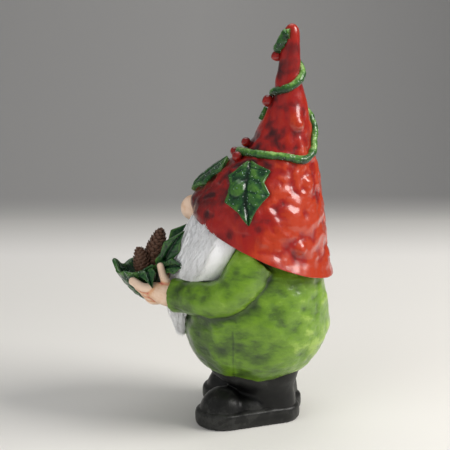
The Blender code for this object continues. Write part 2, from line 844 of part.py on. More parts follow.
def swell(obj, gap, group):
    """A helper copy of a shape with its skin moved out by this gap."""
    shape = bmesh.new()
    shape.from_mesh(obj.data)
    shape.normal_update()
    moves = [v.normal * gap * v.calc_shell_factor() for v in shape.verts]
    for vert, move in zip(shape.verts, moves):
        vert.co += move
    mesh = bpy.data.meshes.new(obj.name + "_room")
    shape.to_mesh(mesh)
    shape.free()
    copy = bpy.data.objects.new(obj.name + "_room", mesh)
    group.objects.link(copy)
    copy.hide_render = True
    copy.display_type = "WIRE"
    return copy


def settle(obj):
    """Applies the modifiers and clears the specks that a join leaves between close skins."""
    view = bpy.context.view_layer
    view.update()
    mesh = bpy.data.meshes.new_from_object(obj.evaluated_get(bpy.context.evaluated_depsgraph_get()))
    shape = bmesh.new()
    shape.from_mesh(mesh)
    left, shells = set(shape.verts), []
    while left:
        front = [left.pop()]
        shell = set(front)
        while front:
            vert = front.pop()
            near = {edge.other_vert(vert) for edge in vert.link_edges} & left
            left -= near
            shell |= near
            front += near
        shells.append(shell)
    shells.sort(key=len)
    for shell in shells[:-1]:
        size = max((v.co - next(iter(shell)).co).length for v in shell)
        if size > LARGEST_SPECK:
            where = tuple(round(1000 * x, 1) for x in next(iter(shell)).co)
            raise ValueError(f"{obj.name}: a loose shell {1000 * size:.1f} mm across at {where} mm")
        bmesh.ops.delete(shape, geom=list(shell), context="VERTS")
    shape.to_mesh(mesh)
    shape.free()
    obj.modifiers.clear()
    obj.data = mesh


def make_floor_cut(finish, helper):
    """Everything below the standing surface, to grind the soles flat."""
    size, depth = 0.2, 0.05
    ring = [(-size, -size), (size, -size), (size, size), (-size, size)]
    loft("ground", [[Vector((x, y, z)) for x, y in ring] for z in (-depth, 0.0)], finish, helper)


def build():
    """The casting and the beard."""
    clear_scene()
    red = paint("hat_red", (0.50, 0.02, 0.01), 0.3)
    green = paint("robe_green", (0.20, 0.42, 0.03), 0.5)
    black = paint("boot_black", (0.01, 0.01, 0.01), 0.35)
    skin = paint("skin_peach", (0.80, 0.50, 0.33), 0.4)
    leaf_paint = paint("leaf_green", (0.02, 0.10, 0.03), 0.3)
    vine_paint = paint("vine_green", (0.06, 0.22, 0.04), 0.35)
    berry_paint = paint("berry_red", (0.45, 0.01, 0.01), 0.2)
    brown = paint("cone_brown", (0.10, 0.03, 0.015), 0.5)
    fur = paint("beard_white", (0.85, 0.84, 0.83), 0.8)

    cast = collection("cast_shapes")
    figure = make_robe("figure", green, None)
    make_hat(red, cast)
    make_nose(skin, cast)
    for side, flip in (("left", False), ("right", True)):
        make_sleeve(f"{side}_sleeve", flip, green, cast)
        make_hand(side, flip, skin, cast)
        make_boot(side, flip, black, cast)
    make_web(black, cast)
    make_dish(leaf_paint, cast)
    pine_cone("big_cone", *BIG_CONE, brown, cast)
    pine_cone("small_cone", *SMALL_CONE, brown, cast)
    make_hat_trim(leaf_paint, vine_paint, berry_paint, cast)
    room = collection("beard_room")
    for shape in [figure, *cast.objects]:
        if not shape.name.startswith(FAR_FROM_BEARD):
            swell(shape, BEARD_GAP, room)
    beard = make_beard(fur)
    combine(beard, "DIFFERENCE", room)
    combine(figure, "UNION", cast)
    ground = collection("ground_cut")
    make_floor_cut(black, ground)
    combine(figure, "DIFFERENCE", ground)
    settle(figure)
    settle(beard)


build()
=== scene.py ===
"""Looks of a santa gnome figurine: a cast with hand-painted washes, and a fur beard.

Metres, +Z up. The figure faces -Y, its left hand is on +X, and it stands on Z = 0.
"""

import json
from math import cos, exp, pi, radians, sin

import bmesh
import bpy
import numpy as np
from bpy.props import FloatProperty, FloatVectorProperty, IntProperty, PointerProperty
from mathutils import Matrix, Vector, noise

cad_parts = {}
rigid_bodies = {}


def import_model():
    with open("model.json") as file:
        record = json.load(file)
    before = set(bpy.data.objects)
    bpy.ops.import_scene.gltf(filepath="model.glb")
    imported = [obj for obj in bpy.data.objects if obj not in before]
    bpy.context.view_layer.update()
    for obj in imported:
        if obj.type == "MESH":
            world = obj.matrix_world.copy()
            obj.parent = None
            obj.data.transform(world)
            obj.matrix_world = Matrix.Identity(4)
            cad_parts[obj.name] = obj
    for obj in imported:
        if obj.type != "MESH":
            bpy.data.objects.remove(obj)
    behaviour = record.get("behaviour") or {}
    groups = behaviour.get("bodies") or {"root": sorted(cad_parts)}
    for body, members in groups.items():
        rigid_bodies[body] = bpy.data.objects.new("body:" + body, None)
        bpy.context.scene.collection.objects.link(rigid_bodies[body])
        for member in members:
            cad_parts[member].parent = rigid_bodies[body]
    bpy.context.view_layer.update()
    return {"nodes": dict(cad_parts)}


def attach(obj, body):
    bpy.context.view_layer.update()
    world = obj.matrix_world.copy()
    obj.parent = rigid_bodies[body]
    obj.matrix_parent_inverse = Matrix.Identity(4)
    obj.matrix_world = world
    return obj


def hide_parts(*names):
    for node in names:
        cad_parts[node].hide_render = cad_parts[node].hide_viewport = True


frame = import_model()

bl_info = {
    "name": "Gnome Figurine",
    "version": (1, 0, 0),
    "blender": (4, 5, 0),
    "location": "View3D > Sidebar > Gnome",
    "description": "Builds a painted resin gnome with a fur beard on its packed frame",
    "category": "Add Mesh",
}

X_AXIS = Vector((1, 0, 0))
Z_AXIS = Vector((0, 0, 1))

# Hat: each row is the ring's distance back, height, radius and tilt in degrees
HAT_RINGS = (
    (0.0075, 0.1085, 0.0468, 24.6),
    (0.0053, 0.1175, 0.0436, 20.8),
    (0.0068, 0.1280, 0.0409, 18.5),
    (0.0093, 0.1390, 0.0359, 14.5),
    (0.0135, 0.1495, 0.0292, 12.8),
    (0.0175, 0.1590, 0.0229, 10.0),
    (0.0198, 0.1685, 0.0184, 7.8),
    (0.0215, 0.1800, 0.0146, 7.8),
    (0.0230, 0.1940, 0.0100, 5.7),
    (0.0227, 0.2075, 0.0072, 4.0),
    (0.0230, 0.2220, 0.0060, 0.0),
    (0.0240, 0.2335, 0.0046, 0.0),
)
HAT_TIP_RISE = 0.0055
NOSE_NOTCH = 0.0070
# Round buttons on the hat: share of the hat's length, degrees round, radius and height
HAT_BUTTONS = (
    (0.655, 118, 0.0042, 0.0020),
    (0.132, 131, 0.0045, 0.0026),
    (0.385, 140, 0.0048, 0.0018),
    (0.10, 178, 0.0045, 0.0026),
    (0.30, 62, 0.0050, 0.0016),
    (0.20, 215, 0.0050, 0.0020),
    (0.36, 250, 0.0045, 0.0020),
    (0.14, 290, 0.0050, 0.0020),
    (0.52, 300, 0.0040, 0.0020),
)

# Robe: each row is the ring's distance back, height, half depth and half width
ROBE_RINGS = (
    (0.0040, 0.0302, 0.0275, 0.0305),
    (0.0034, 0.0350, 0.0335, 0.0362),
    (0.0033, 0.0425, 0.0394, 0.0418),
    (0.0037, 0.0520, 0.0435, 0.0445),
    (0.0040, 0.0615, 0.0440, 0.0450),
    (0.0045, 0.0735, 0.0422, 0.0435),
    (0.0060, 0.0865, 0.0385, 0.0400),
    (0.0070, 0.0985, 0.0330, 0.0360),
    (0.0080, 0.1100, 0.0260, 0.0300),
    (0.0090, 0.1200, 0.0150, 0.0180),
)
SHOULDER = Vector((0.0335, 0.0045, 0.1045))
ELBOW = Vector((0.0420, -0.0108, 0.0844))
CUFF = Vector((0.0265, -0.0430, 0.0801))
SLEEVE_RADII = ((0.0130,), (0.0112,), (0.0099,))

# Side seam of the robe
SEAM_BACK = -0.0068
SEAM_TOP = 0.0640
SEAM_DEPTH = 0.0004

# Rings of a bar's round end, as shares of its radius
CAP_STEPS = (0.95, 0.7, 0.35)

# Hands and boots
FINGER_RADIUS = 0.0028
THUMB_RADIUS = 0.0024
BOOT_SPLAY = radians(23)
HEEL_APART = 0.0180
HEEL_BACK = 0.0175
HEEL_RADIUS = 0.0135
TOE_REACH = 0.0348
TOE_RADIUS = 0.0165
TOE_CAP_HEIGHT = 0.0128
SOLE_THICKNESS = 0.0100
# Rows of the sole: how far drawn in, and height over the ground, then over the sole's top
SOLE_FOOT = ((0.0030, 0.0), (0.0012, 0.0003), (0.0003, 0.0012), (0.0, 0.0030))
SOLE_TOP = ((0.0, -0.0020), (0.0006, -0.0007), (0.0020, 0.0), (0.0040, 0.0004))
SHAFT_WAIST = 0.0210
INSTEP_REACH = 0.0190
INSTEP_LENGTH = 0.0175
INSTEP_WIDTH = 0.0122
INSTEP_HEIGHT = 0.0088

# Face and beard: each row is the ring's height, reach forward, half width and root
NOSE_CENTRE = Vector((0, -0.0338, 0.1277))
NOSE_RADIUS = 0.0078
BEARD_RINGS = (
    (0.1300, 0.0300, 0.0260, 0.0100),
    (0.1240, 0.0332, 0.0330, 0.0100),
    (0.1180, 0.0352, 0.0388, 0.0080),
    (0.1110, 0.0382, 0.0428, 0.0050),
    (0.1030, 0.0412, 0.0425, 0.0010),
    (0.0930, 0.0442, 0.0380, -0.0060),
    (0.0810, 0.0468, 0.0290, -0.0140),
    (0.0690, 0.0476, 0.0205, -0.0220),
    (0.0590, 0.0456, 0.0125, -0.0280),
    (0.0510, 0.0432, 0.0055, -0.0320),
)
BEARD_FULLNESS = 0.90
BEARD_LOCKS = 13
BEARD_LOCK_DEPTH = 0.0011
# Layers of fur: name, seed and how far the strands stand off
FUR_LAYERS = (("beard_fur_under", 11, 0.0004), ("beard_fur_over", 23, 0.0010))
FUR_SPREAD = 0.0012

# Leaf dish
DISH_FORWARD = 0.0570
DISH_BOTTOM = 0.0680
DISH_HEIGHT = 0.0270
DISH_SLOPE = 0.36
DISH_TIP = 0.0065
DISH_HALF_WIDTH = 0.0215
DISH_REACH = 0.0245
DISH_BACK = 0.0085
DISH_WALL = 0.0026
DISH_POINTS = 8
# Leaves of the dish: base, bend and tip, then direction across, half width and cup
DISH_LEAVES = {
    "near": (
        ((0.0190, -0.0600, 0.0900), (0.0270, -0.0600, 0.0990), (0.0285, -0.0555, 0.0850)),
        ((0, -1, -0.3), 0.0048, 0.2),
    ),
    "far": (
        ((-0.0190, -0.0600, 0.0900), (-0.0270, -0.0600, 0.0990), (-0.0285, -0.0555, 0.0850)),
        ((0, 1, 0.3), 0.0048, 0.2),
    ),
    "tall": (
        ((0.0150, -0.0523, 0.0910), (0.0235, -0.0485, 0.1060), (0.0215, -0.0372, 0.1185)),
        ((0, 0.85, -0.5), 0.0056, 0.15),
    ),
    "low": (
        ((0.0150, -0.0525, 0.0915), (0.0265, -0.0460, 0.1000), (0.0285, -0.0365, 0.0985)),
        ((0, 0.2, -1), 0.0048, 0.15),
    ),
    "tall_far": (
        ((-0.0150, -0.0523, 0.0910), (-0.0225, -0.0480, 0.1030), (-0.0225, -0.0395, 0.1120)),
        ((0, -0.85, 0.5), 0.0060, 0.15),
    ),
}
LEAF_THICKNESS = 0.0022
FLAKE_SIZE = 0.00026
# Leaves on the hat: degrees round, height, length, heading in degrees and half width
HAT_LEAVES = {
    "near": (51, 0.1595, 0.0430, -34, 0.0118),
    "front": (8, 0.1580, 0.0310, 6, 0.0105),
    "small": (-8, 0.1880, 0.0110, 20, 0.0035),
}
# Half width of a holly leaf along its midrib, as shares of its length and width
HOLLY_OUTLINE = (
    (0.00, 0.12),
    (0.09, 0.42),
    (0.22, 0.95),
    (0.41, 0.70),
    (0.63, 1.00),
    (0.80, 0.48),
    (1.00, 0.03),
)
HOLLY_VEINS = (0.10, 0.30, 0.50, 0.68)

# Vine round the hat: degrees round from the front and height
VINE_PATH = (
    (80, 0.2400),
    (52, 0.2345),
    (16, 0.2255),
    (-90, 0.2180),
    (-180, 0.2105),
    (-270, 0.2025),
    (-360, 0.1980),
    (-450, 0.1920),
    (-515, 0.1830),
    (-545, 0.1700),
    (-585, 0.1615),
    (-630, 0.1640),
    (-680, 0.1640),
    (-722, 0.1620),
)
# Berries: degrees round from the front, height and radius
BERRIES = (
    (0, 0.2195, 0.0031),
    (-2, 0.1920, 0.0036),
    (4, 0.1675, 0.0029),
    (24, 0.1600, 0.0031),
    (-20, 0.1590, 0.0030),
)
# Pine cones: base, tip and radius
CONES = {
    "big": (Vector((0.0020, -0.0640, 0.0760)), Vector((0.0010, -0.0535, 0.1140)), 0.0066),
    "small": (Vector((0.0060, -0.0610, 0.0800)), Vector((0.0075, -0.0665, 0.1040)), 0.0056),
}

CONE_FULL_LENGTH = 0.0407
CONE_SCALE_SHARE = 0.30

# Fineness of the casts
ROBE_GRAIN = 0.0008
BOOT_GRAIN = 0.0009
HAND_GRAIN = 0.00045
BEARD_GRAIN = 0.0008

# Camera: what it looks at, how far off it stands, and its place round and above
TARGET = Vector((0, -0.0151, 0.1172))
CAMERA_DISTANCE = 1.1
CAMERA_AZIMUTH = radians(95)
CAMERA_ELEVATION = radians(14)
LENS = 146.7
# Lights: metres right, up and back from the target, disc, watts, colour, and whether it glints
LIGHTS = {
    "key_light": ((0.76, 0.55, 0.28), 0.60, 9.8, (1.0, 0.98, 0.95), True),
    "fill_light": ((-0.62, 0.12, 0.80), 1.10, 5.6, (0.97, 0.98, 1.0), False),
    "top_light": ((0.0, 0.85, -0.15), 0.70, 1.8, (1.0, 1.0, 1.0), True),
}
ROOM_COLOUR = (0.80, 0.82, 0.84, 1)
ROOM_LIGHT = 0.30

# Backdrop: where it starts to bend, its bend, height and half width
BEND_START = 0.25
BEND_RADIUS = 0.75
WALL_HEIGHT = 2.6
SHEET_HALF_WIDTH = 3.0
SHEET_FRONT = -1.6
# Shades of the backdrop by height, as shares of this height
SHADE_HEIGHT = 0.40
SHADES = (
    (0.00, (0.82, 0.80, 0.76)),
    (0.016, (0.78, 0.76, 0.73)),
    (0.045, (0.46, 0.45, 0.43)),
    (0.075, (0.27, 0.265, 0.26)),
)
# The wall is also painted darker sideways, as painted shade
PAINTED_SIDE_SHADE = ((0.0, (0.27, 0.265, 0.26)), (1.0, (0.12, 0.12, 0.12)))
SIDE_SPAN = (-0.1, 0.3)


class GnomePaints(bpy.types.PropertyGroup):
    """Colours of the paints."""

    hat: FloatVectorProperty(
        name="Hat", description="Bright red of the hat", subtype="COLOR", size=3,
        default=(0.30, 0.005, 0.003),
    )
    hat_wash: FloatVectorProperty(
        name="Hat wash", description="Dark wash in the hat's hollows", subtype="COLOR", size=3,
        default=(0.045, 0.003, 0.004),
    )
    robe: FloatVectorProperty(
        name="Robe", description="Lime green of the robe", subtype="COLOR", size=3,
        default=(0.120, 0.245, 0.010),
    )
    robe_wash: FloatVectorProperty(
        name="Robe wash", description="Dark wash in the robe's hollows", subtype="COLOR", size=3,
        default=(0.026, 0.056, 0.010),
    )
    leaf: FloatVectorProperty(
        name="Leaf", description="Bottle green of the leaves", subtype="COLOR", size=3,
        default=(0.006, 0.032, 0.012),
    )
    skin: FloatVectorProperty(
        name="Skin", description="Peach of the hands and nose", subtype="COLOR", size=3,
        default=(0.68, 0.39, 0.21),
    )


class GnomeSizes(bpy.types.PropertyGroup):
    """Sizes that a user may change without touching the solids."""

    dent: FloatProperty(
        name="Dent depth", description="Depth of the hat's modelled dents", subtype="DISTANCE",
        unit="LENGTH", default=0.0008, min=0, max=0.002,
    )
    vine_radius: FloatProperty(
        name="Vine radius", description="Half the vine's thickness", subtype="DISTANCE",
        unit="LENGTH", default=0.0023, min=0.001, max=0.003,
    )
    strand_width: FloatProperty(
        name="Strand width", description="Half the thickness of a beard strand", subtype="DISTANCE",
        unit="LENGTH", default=0.00018, min=0.00005, max=0.0004,
    )
    locks: IntProperty(
        name="Locks", description="Groups of strands in each layer of the beard", default=900,
        min=100, max=1500,
    )
    strands: IntProperty(
        name="Strands in a lock", description="Strands that share a lock", default=5, min=1, max=8,
    )
    flakes: FloatProperty(
        name="Glitter", description="Flakes on a square metre of leaf", default=90000,
        min=0, max=600000,
    )
    scales: IntProperty(
        name="Cone scales", description="Scales on the larger pine cone", default=150, min=40, max=300,
    )


def along(rows, share):
    """The row at this share of a table's length, on a smooth curve through its rows."""
    spans = len(rows) - 1
    place = min(max(share, 0.0), 1.0) * spans
    i = min(int(place), spans - 1)
    f = place - i
    a, b, c, d = (rows[min(max(k, 0), spans)] for k in range(i - 1, i + 3))
    return [
        0.5 * (2 * q + (r - p) * f + (2 * p - 5 * q + 4 * r - s) * f**2 + (3 * (q - r) + s - p) * f**3)
        for p, q, r, s in zip(a, b, c, d)
    ]


def between(rows, x):
    """The straight-line value at x in a table of (x, value) rows."""
    for (x0, y0), (x1, y1) in zip(rows, rows[1:]):
        if x <= x1:
            return y0 + (y1 - y0) * (x - x0) / (x1 - x0)
    return rows[-1][1]


def lump(point, size):
    """Soft unevenness of a hand-modelled surface, from -1 to 1, in lumps of this size."""
    return noise.noise(point / size) + 0.45 * noise.noise(point / (0.45 * size))


def pressed(point, size):
    """Shallow thumb presses: 0 in the middle of one, up to 1 on the ridge between two."""
    place = point / (1.3 * size)
    bend = [noise.noise(place + shift * Vector((1, 1, 1))) for shift in (0.0, 31.4, 62.8)]
    bent = point / size + 0.35 * Vector(bend)
    near = noise.voronoi(bent)[0]
    return min(1.0, 1.5 * near[0] ** 2)


def smooth_path(knots, count):
    """Points on a smooth curve through the knots."""
    return [Vector(along([tuple(k) for k in knots], i / (count - 1))) for i in range(count)]


def ring_angles(sides):
    """Angles evenly round a ring."""
    return [2 * pi * k / sides for k in range(sides)]


def mirrored(point):
    """The same point on the figure's other side."""
    return Vector((-point.x, point.y, point.z))


# Meshes


def plain_mesh(name, points, edges=(), faces=()):
    """A mesh from its points, edges and faces."""
    mesh = bpy.data.meshes.new(name)
    mesh.from_pydata([tuple(p) for p in points], edges, faces)
    return mesh


def joined_mesh(name, meshes):
    """One mesh that holds several."""
    shape = bmesh.new()
    for mesh in meshes:
        shape.from_mesh(mesh)
    joined = bpy.data.meshes.new(name)
    shape.to_mesh(joined)
    shape.free()
    return joined


def skin_mesh(name, points, faces):
    """A closed mesh whose faces point outwards."""
    mesh = plain_mesh(name, points, (), faces)
    shape = bmesh.new()
    shape.from_mesh(mesh)
    bmesh.ops.recalc_face_normals(shape, faces=shape.faces)
    shape.to_mesh(mesh)
    shape.free()
    mesh.shade_smooth()
    return mesh


def loft(name, rings, start=None, end=None):
    """A closed skin over rings of equal count. It ends in a point, or in a flat face."""
    count = len(rings[0])
    points = [p for ring in rings for p in ring]
    faces = []
    for row in range(len(rings) - 1):
        low, high = row * count, (row + 1) * count
        for i in range(count):
            j = (i + 1) % count
            faces.append((low + i, low + j, high + j, high + i))
    for tip, first in ((start, 0), (end, (len(rings) - 1) * count)):
        if tip is None:
            faces.append(tuple(range(first, first + count)))
        else:
            points.append(tip)
            faces += [(first + i, first + (i + 1) % count, len(points) - 1) for i in range(count)]
    return skin_mesh(name, points, faces)


def tube(name, path, radii, sides, round_end=1.0):
    """A bar along a path with round ends."""
    rings = []
    side = None
    turns = ring_angles(sides)
    before = (path[0] - path[1]).normalized() * radii[0] * round_end
    after = (path[-1] - path[-2]).normalized() * radii[-1] * round_end
    caps = [(s, (1 - s * s) ** 0.5) for s in CAP_STEPS]
    stations = [(path[0] + before * s, radii[0] * slim) for s, slim in caps]
    stations += zip(path, radii)
    stations += [(path[-1] + after * s, radii[-1] * slim) for s, slim in reversed(caps)]
    for i, (point, radius) in enumerate(stations):
        a, b = stations[max(i - 1, 0)][0], stations[min(i + 1, len(stations) - 1)][0]
        heading = (b - a).normalized()
        if side is None:
            side = heading.orthogonal()
        side = (side - heading * side.dot(heading)).normalized()
        up = heading.cross(side)
        rings.append([point + radius * (cos(t) * side + sin(t) * up) for t in turns])
    return loft(name, rings, path[0] + before, path[-1] + after)


def shown(name, mesh):
    """An object for a mesh, in the scene."""
    obj = bpy.data.objects.new(name, mesh)
    bpy.context.scene.collection.objects.link(obj)
    return obj


def baked(obj):
    """The object with what its modifiers make as its plain mesh."""
    bpy.context.view_layer.update()
    graph = bpy.context.evaluated_depsgraph_get()
    mesh = bpy.data.meshes.new_from_object(obj.evaluated_get(graph))
    obj.modifiers.clear()
    obj.data = mesh
    return obj


def cast(name, meshes, grain, rounds):
    """One skin round overlapping shapes, softened where they meet."""
    obj = shown(name, joined_mesh(name, meshes))
    skin = obj.modifiers.new("skin", "REMESH")
    skin.mode = "VOXEL"
    skin.voxel_size = grain
    skin.use_smooth_shade = True
    soften = obj.modifiers.new("soften", "SMOOTH")
    soften.factor = 0.5
    soften.iterations = rounds
    return baked(obj)


def carve(mesh, height):
    """Moves each point of a mesh along its normal by height(point, normal)."""
    points = [v.co.copy() for v in mesh.vertices]
    normals = [Vector(n.vector) for n in mesh.vertex_normals]
    moved = [p + n * height(p, n) for p, n in zip(points, normals)]
    mesh.vertices.foreach_set("co", [c for p in moved for c in p])
    mesh.update()


def mark_hollows(mesh, rounds, depth):
    """Stores how far each point lies in a hollow, from -1 on a crest to 1, for the paint."""
    count = len(mesh.vertices)
    flat = np.empty(count * 3)
    mesh.vertices.foreach_get("co", flat)
    place = flat.reshape(-1, 3)
    ends = np.empty(len(mesh.edges) * 2, np.int64)
    mesh.edges.foreach_get("vertices", ends)
    a, b = ends.reshape(-1, 2).T
    degree = np.maximum(np.bincount(a, minlength=count) + np.bincount(b, minlength=count), 1)
    soft = place.copy()
    for _ in range(rounds):
        total = np.stack(
            [
                np.bincount(a, soft[b, k], count) + np.bincount(b, soft[a, k], count)
                for k in range(3)
            ],
            axis=1,
        )
        soft = total / degree[:, None]
    normals = np.empty(count * 3)
    mesh.vertex_normals.foreach_get("vector", normals)
    hollow = ((soft - place) * normals.reshape(-1, 3)).sum(axis=1) / depth
    store = mesh.attributes.new("hollow", "FLOAT", "POINT")
    store.data.foreach_set("value", np.clip(hollow, -1, 1).astype(np.float32))


def finished(obj, node, material):
    """Puts the paint on a piece, ties it to the root body and hides the solid it stands for."""
    obj.data.materials.clear()
    obj.data.materials.append(material)
    obj.data.polygons.foreach_set("material_index", [0] * len(obj.data.polygons))
    obj.data.shade_smooth()
    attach(obj, "root")
    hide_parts(node)


def cast_piece(obj, material, rounds, depth):
    """A piece of the casting, with its hollows marked for its paint."""
    mark_hollows(obj.data, rounds, depth)
    finished(obj, "figure", material)


# Paints


class Nodes:
    """A node tree under construction."""

    def add(self, kind, inputs=None, **settings):
        """A node with its settings, and its inputs linked or set."""
        node = self.tree.nodes.new(kind)
        for key, value in settings.items():
            setattr(node, key, value)
        for key, value in (inputs or {}).items():
            self.put(node, key, value)
        return node

    def put(self, node, key, value):
        """Links a socket to an input, or sets it."""
        if isinstance(value, bpy.types.NodeSocket):
            self.tree.links.new(value, node.inputs[key])
        else:
            node.inputs[key].default_value = value

    def first(self, kind, inputs=None, **settings):
        """The first output of a node."""
        return self.add(kind, inputs, **settings).outputs[0]


class Paint(Nodes):
    """A node material under construction."""

    def __init__(self, name):
        self.material = bpy.data.materials.new(name)
        self.material.use_nodes = True
        self.tree = self.material.node_tree
        self.shader = self.tree.nodes["Principled BSDF"]
        self.place = self.add("ShaderNodeTexCoord").outputs["Object"]

    def grain(self, size, detail=3.0, rough=0.5, stretch=None, swirl=0.0):
        """Noise in patches of this size, stretched along an axis or swirled if asked."""
        place = self.place
        if stretch:
            place = self.add("ShaderNodeMapping", {"Vector": place, "Scale": stretch}).outputs["Vector"]
        inputs = {"Vector": place, "Scale": 1 / size, "Detail": detail, "Roughness": rough}
        inputs["Distortion"] = swirl
        return self.add("ShaderNodeTexNoise", inputs).outputs["Fac"]

    def sums(self, base, *terms):
        """base plus, for each (socket, middle, weight), weight times socket less middle."""
        total = base
        for socket, middle, weight in terms:
            shift = self.first("ShaderNodeMath", {0: socket, 1: middle}, operation="SUBTRACT")
            total = self.first(
                "ShaderNodeMath", {0: shift, 1: weight, 2: total}, operation="MULTIPLY_ADD"
            )
        return total

    def ramp(self, value, stops):
        """A colour from a value by (place, colour) stops."""
        node = self.add("ShaderNodeValToRGB", {"Fac": value})
        band = node.color_ramp
        while len(band.elements) < len(stops):
            band.elements.new(0.5)
        for element, (place, colour) in zip(band.elements, stops):
            element.position = place
            element.color = (*colour, 1)
        return node.outputs["Color"]

    def spread(self, value, low, high, start=0.0, end=1.0):
        """The value between start and end, spread between two limits."""
        inputs = {"Value": value, "From Min": start, "From Max": end, "To Min": low, "To Max": high}
        return self.add("ShaderNodeMapRange", inputs).outputs["Result"]

    def bump(self, height, depth, strength=1.0):
        """Fine relief in the shading only."""
        inputs = {"Height": height, "Distance": depth, "Strength": strength}
        self.put(self.shader, "Normal", self.add("ShaderNodeBump", inputs).outputs["Normal"])


NO_PAINTED_LIGHT_FADE = ((0, 0, 0), (0, 0, 0))


def mixed(a, b, share):
    """A colour between two."""
    return tuple(x + (y - x) * share for x, y in zip(a, b))


def painted(
    name, stops, patch, wash, rough, coat, relief,
    streak=None, cloud=0.9, painted_light_fade=NO_PAINTED_LIGHT_FADE, over=0.0,
):
    """Hand-painted resin: washes in the hollows, dry brushing on the crests, and patches between.

    cloud is how much the patches differ. Two terms are painted light: a point with how much lighter it
    gets per metre from there along each axis, and over, how much lighter what faces up is painted.
    """
    paint = Paint(name)
    hollow = paint.add("ShaderNodeAttribute", attribute_name="hollow").outputs["Fac"]
    patches = paint.grain(patch, 5.0, 0.60, None, 0.7)
    brush = paint.grain(0.0026, 5.0, 0.75, streak)
    fine = paint.grain(0.0008, 3.0, 0.6)
    start, slope = (Vector(v) for v in painted_light_fade)
    inputs = {0: paint.place, 1: slope}
    lighter = paint.add("ShaderNodeVectorMath", inputs, operation="DOT_PRODUCT").outputs["Value"]
    normal = paint.add("ShaderNodeNewGeometry").outputs["Normal"]
    rise = paint.add("ShaderNodeSeparateXYZ", {"Vector": normal}).outputs["Z"]
    value = paint.sums(
        0.5,
        (hollow, 0.0, -wash),
        (patches, 0.5, cloud),
        (brush, 0.5, 0.45),
        (fine, 0.5, 0.15),
        # Painted light: lighter towards the lamps' side, and on what faces up.
        (lighter, start.dot(slope), 1.0),
        (rise, 0.0, over),
    )
    paint.put(paint.shader, "Base Color", paint.ramp(value, stops))
    paint.put(paint.shader, "Roughness", paint.spread(brush, rough - 0.09, rough + 0.09))
    paint.put(paint.shader, "Specular IOR Level", 0.22)
    paint.put(paint.shader, "Coat Weight", coat)
    paint.put(paint.shader, "Coat Roughness", 0.6 * rough)
    height = paint.sums(0.0, (brush, 0.5, 0.7), (fine, 0.5, 0.3))
    paint.bump(height, relief)
    return paint.material


def hat_paint(paints):
    """Bright red with orange crests and a maroon wash, painted lighter towards the lit back."""
    red, wash = tuple(paints.hat), tuple(paints.hat_wash)
    stops = (
        (0.10, wash),
        (0.34, mixed(wash, red, 0.45)),
        (0.55, red),
        (0.80, (0.35, 0.012, 0.002)),
        (1.00, (0.46, 0.034, 0.005)),
    )
    # Lighter per metre towards the back, where the key light falls, and darker up the hat: partly
    # painted light, partly the paint's own deeper maroon at the front.
    painted_light_fade = ((0, 0.020, 0.160), (0, 13.0, -2.5))
    return painted(
        "hat_red_paint", stops, patch=0.021, wash=0.34, streak=(1.0, 1.0, 0.45), rough=0.32,
        coat=0.9, relief=0.00045, cloud=1.5, painted_light_fade=painted_light_fade,
    )


def robe_paint(paints):
    """Lime green with a dark wash and paler brush strokes, painted paler towards the lit back."""
    lime, wash = tuple(paints.robe), tuple(paints.robe_wash)
    stops = (
        (0.08, wash),
        (0.36, mixed(wash, lime, 0.45)),
        (0.56, lime),
        (0.82, (0.180, 0.330, 0.018)),
        (1.00, (0.34, 0.50, 0.080)),
    )
    # Painted light: lighter towards the back and up, where the key light falls; the palest green it
    # reaches there stands in for the key light's sheen.
    painted_light_fade = ((0, 0.016, 0.060), (0, 6.5, 1.5))
    streak = (0.6, 0.40, 1.2)
    return painted(
        "robe_green_paint", stops, patch=0.030, wash=0.34, streak=streak, rough=0.46, coat=0.8,
        relief=0.00080, cloud=1.25, painted_light_fade=painted_light_fade,
    )


def leaf_paint(paints):
    """Bottle green with yellow-green dry brushing and dark veins."""
    green = tuple(paints.leaf)
    stops = (
        (0.10, mixed(green, (0, 0, 0), 0.75)),
        (0.46, green),
        (0.68, (0.018, 0.075, 0.018)),
        (0.88, (0.070, 0.180, 0.025)),
        (1.00, (0.20, 0.36, 0.10)),
    )
    return painted(
        "leaf_green_paint", stops, patch=0.014, wash=0.24, rough=0.28, coat=0.6, relief=0.00012,
        cloud=0.8,
    )


def vine_paint():
    """Dark green, painted bright yellow-green on top as painted light from above."""
    stops = (
        (0.15, (0.002, 0.012, 0.005)),
        (0.45, (0.008, 0.038, 0.012)),
        (0.68, (0.030, 0.110, 0.020)),
        (0.88, (0.100, 0.250, 0.040)),
        (1.00, (0.26, 0.44, 0.12)),
    )
    # over paints what faces up lighter: painted light from above.
    return painted(
        "vine_green_paint", stops, patch=0.010, wash=0.12, rough=0.30, coat=0.6, relief=0.00020,
        cloud=1.5, over=0.28,
    )


def skin_paint(paints):
    """Peach that turns pink in the creases."""
    skin = tuple(paints.skin)
    stops = (
        (0.05, (0.55, 0.17, 0.11)),
        (0.35, (0.72, 0.33, 0.21)),
        (0.58, skin),
        (1.00, mixed(skin, (0.95, 0.80, 0.68), 0.5)),
    )
    return painted(
        "skin_peach_paint", stops, patch=0.012, wash=0.55, rough=0.40, coat=0.25,
        relief=0.00004,
    )


def boot_paint():
    """Black with a soft shine and grey on the crests, partly scuffs and partly painted highlight."""
    stops = (
        (0.10, (0.002, 0.002, 0.002)),
        (0.60, (0.006, 0.006, 0.006)),
        (0.90, (0.013, 0.013, 0.012)),
        (1.00, (0.030, 0.030, 0.028)),
    )
    return painted(
        "boot_black_paint", stops, patch=0.014, wash=0.40, streak=(1.0, 1.0, 0.6), rough=0.42,
        coat=0.15, relief=0.00010,
    )


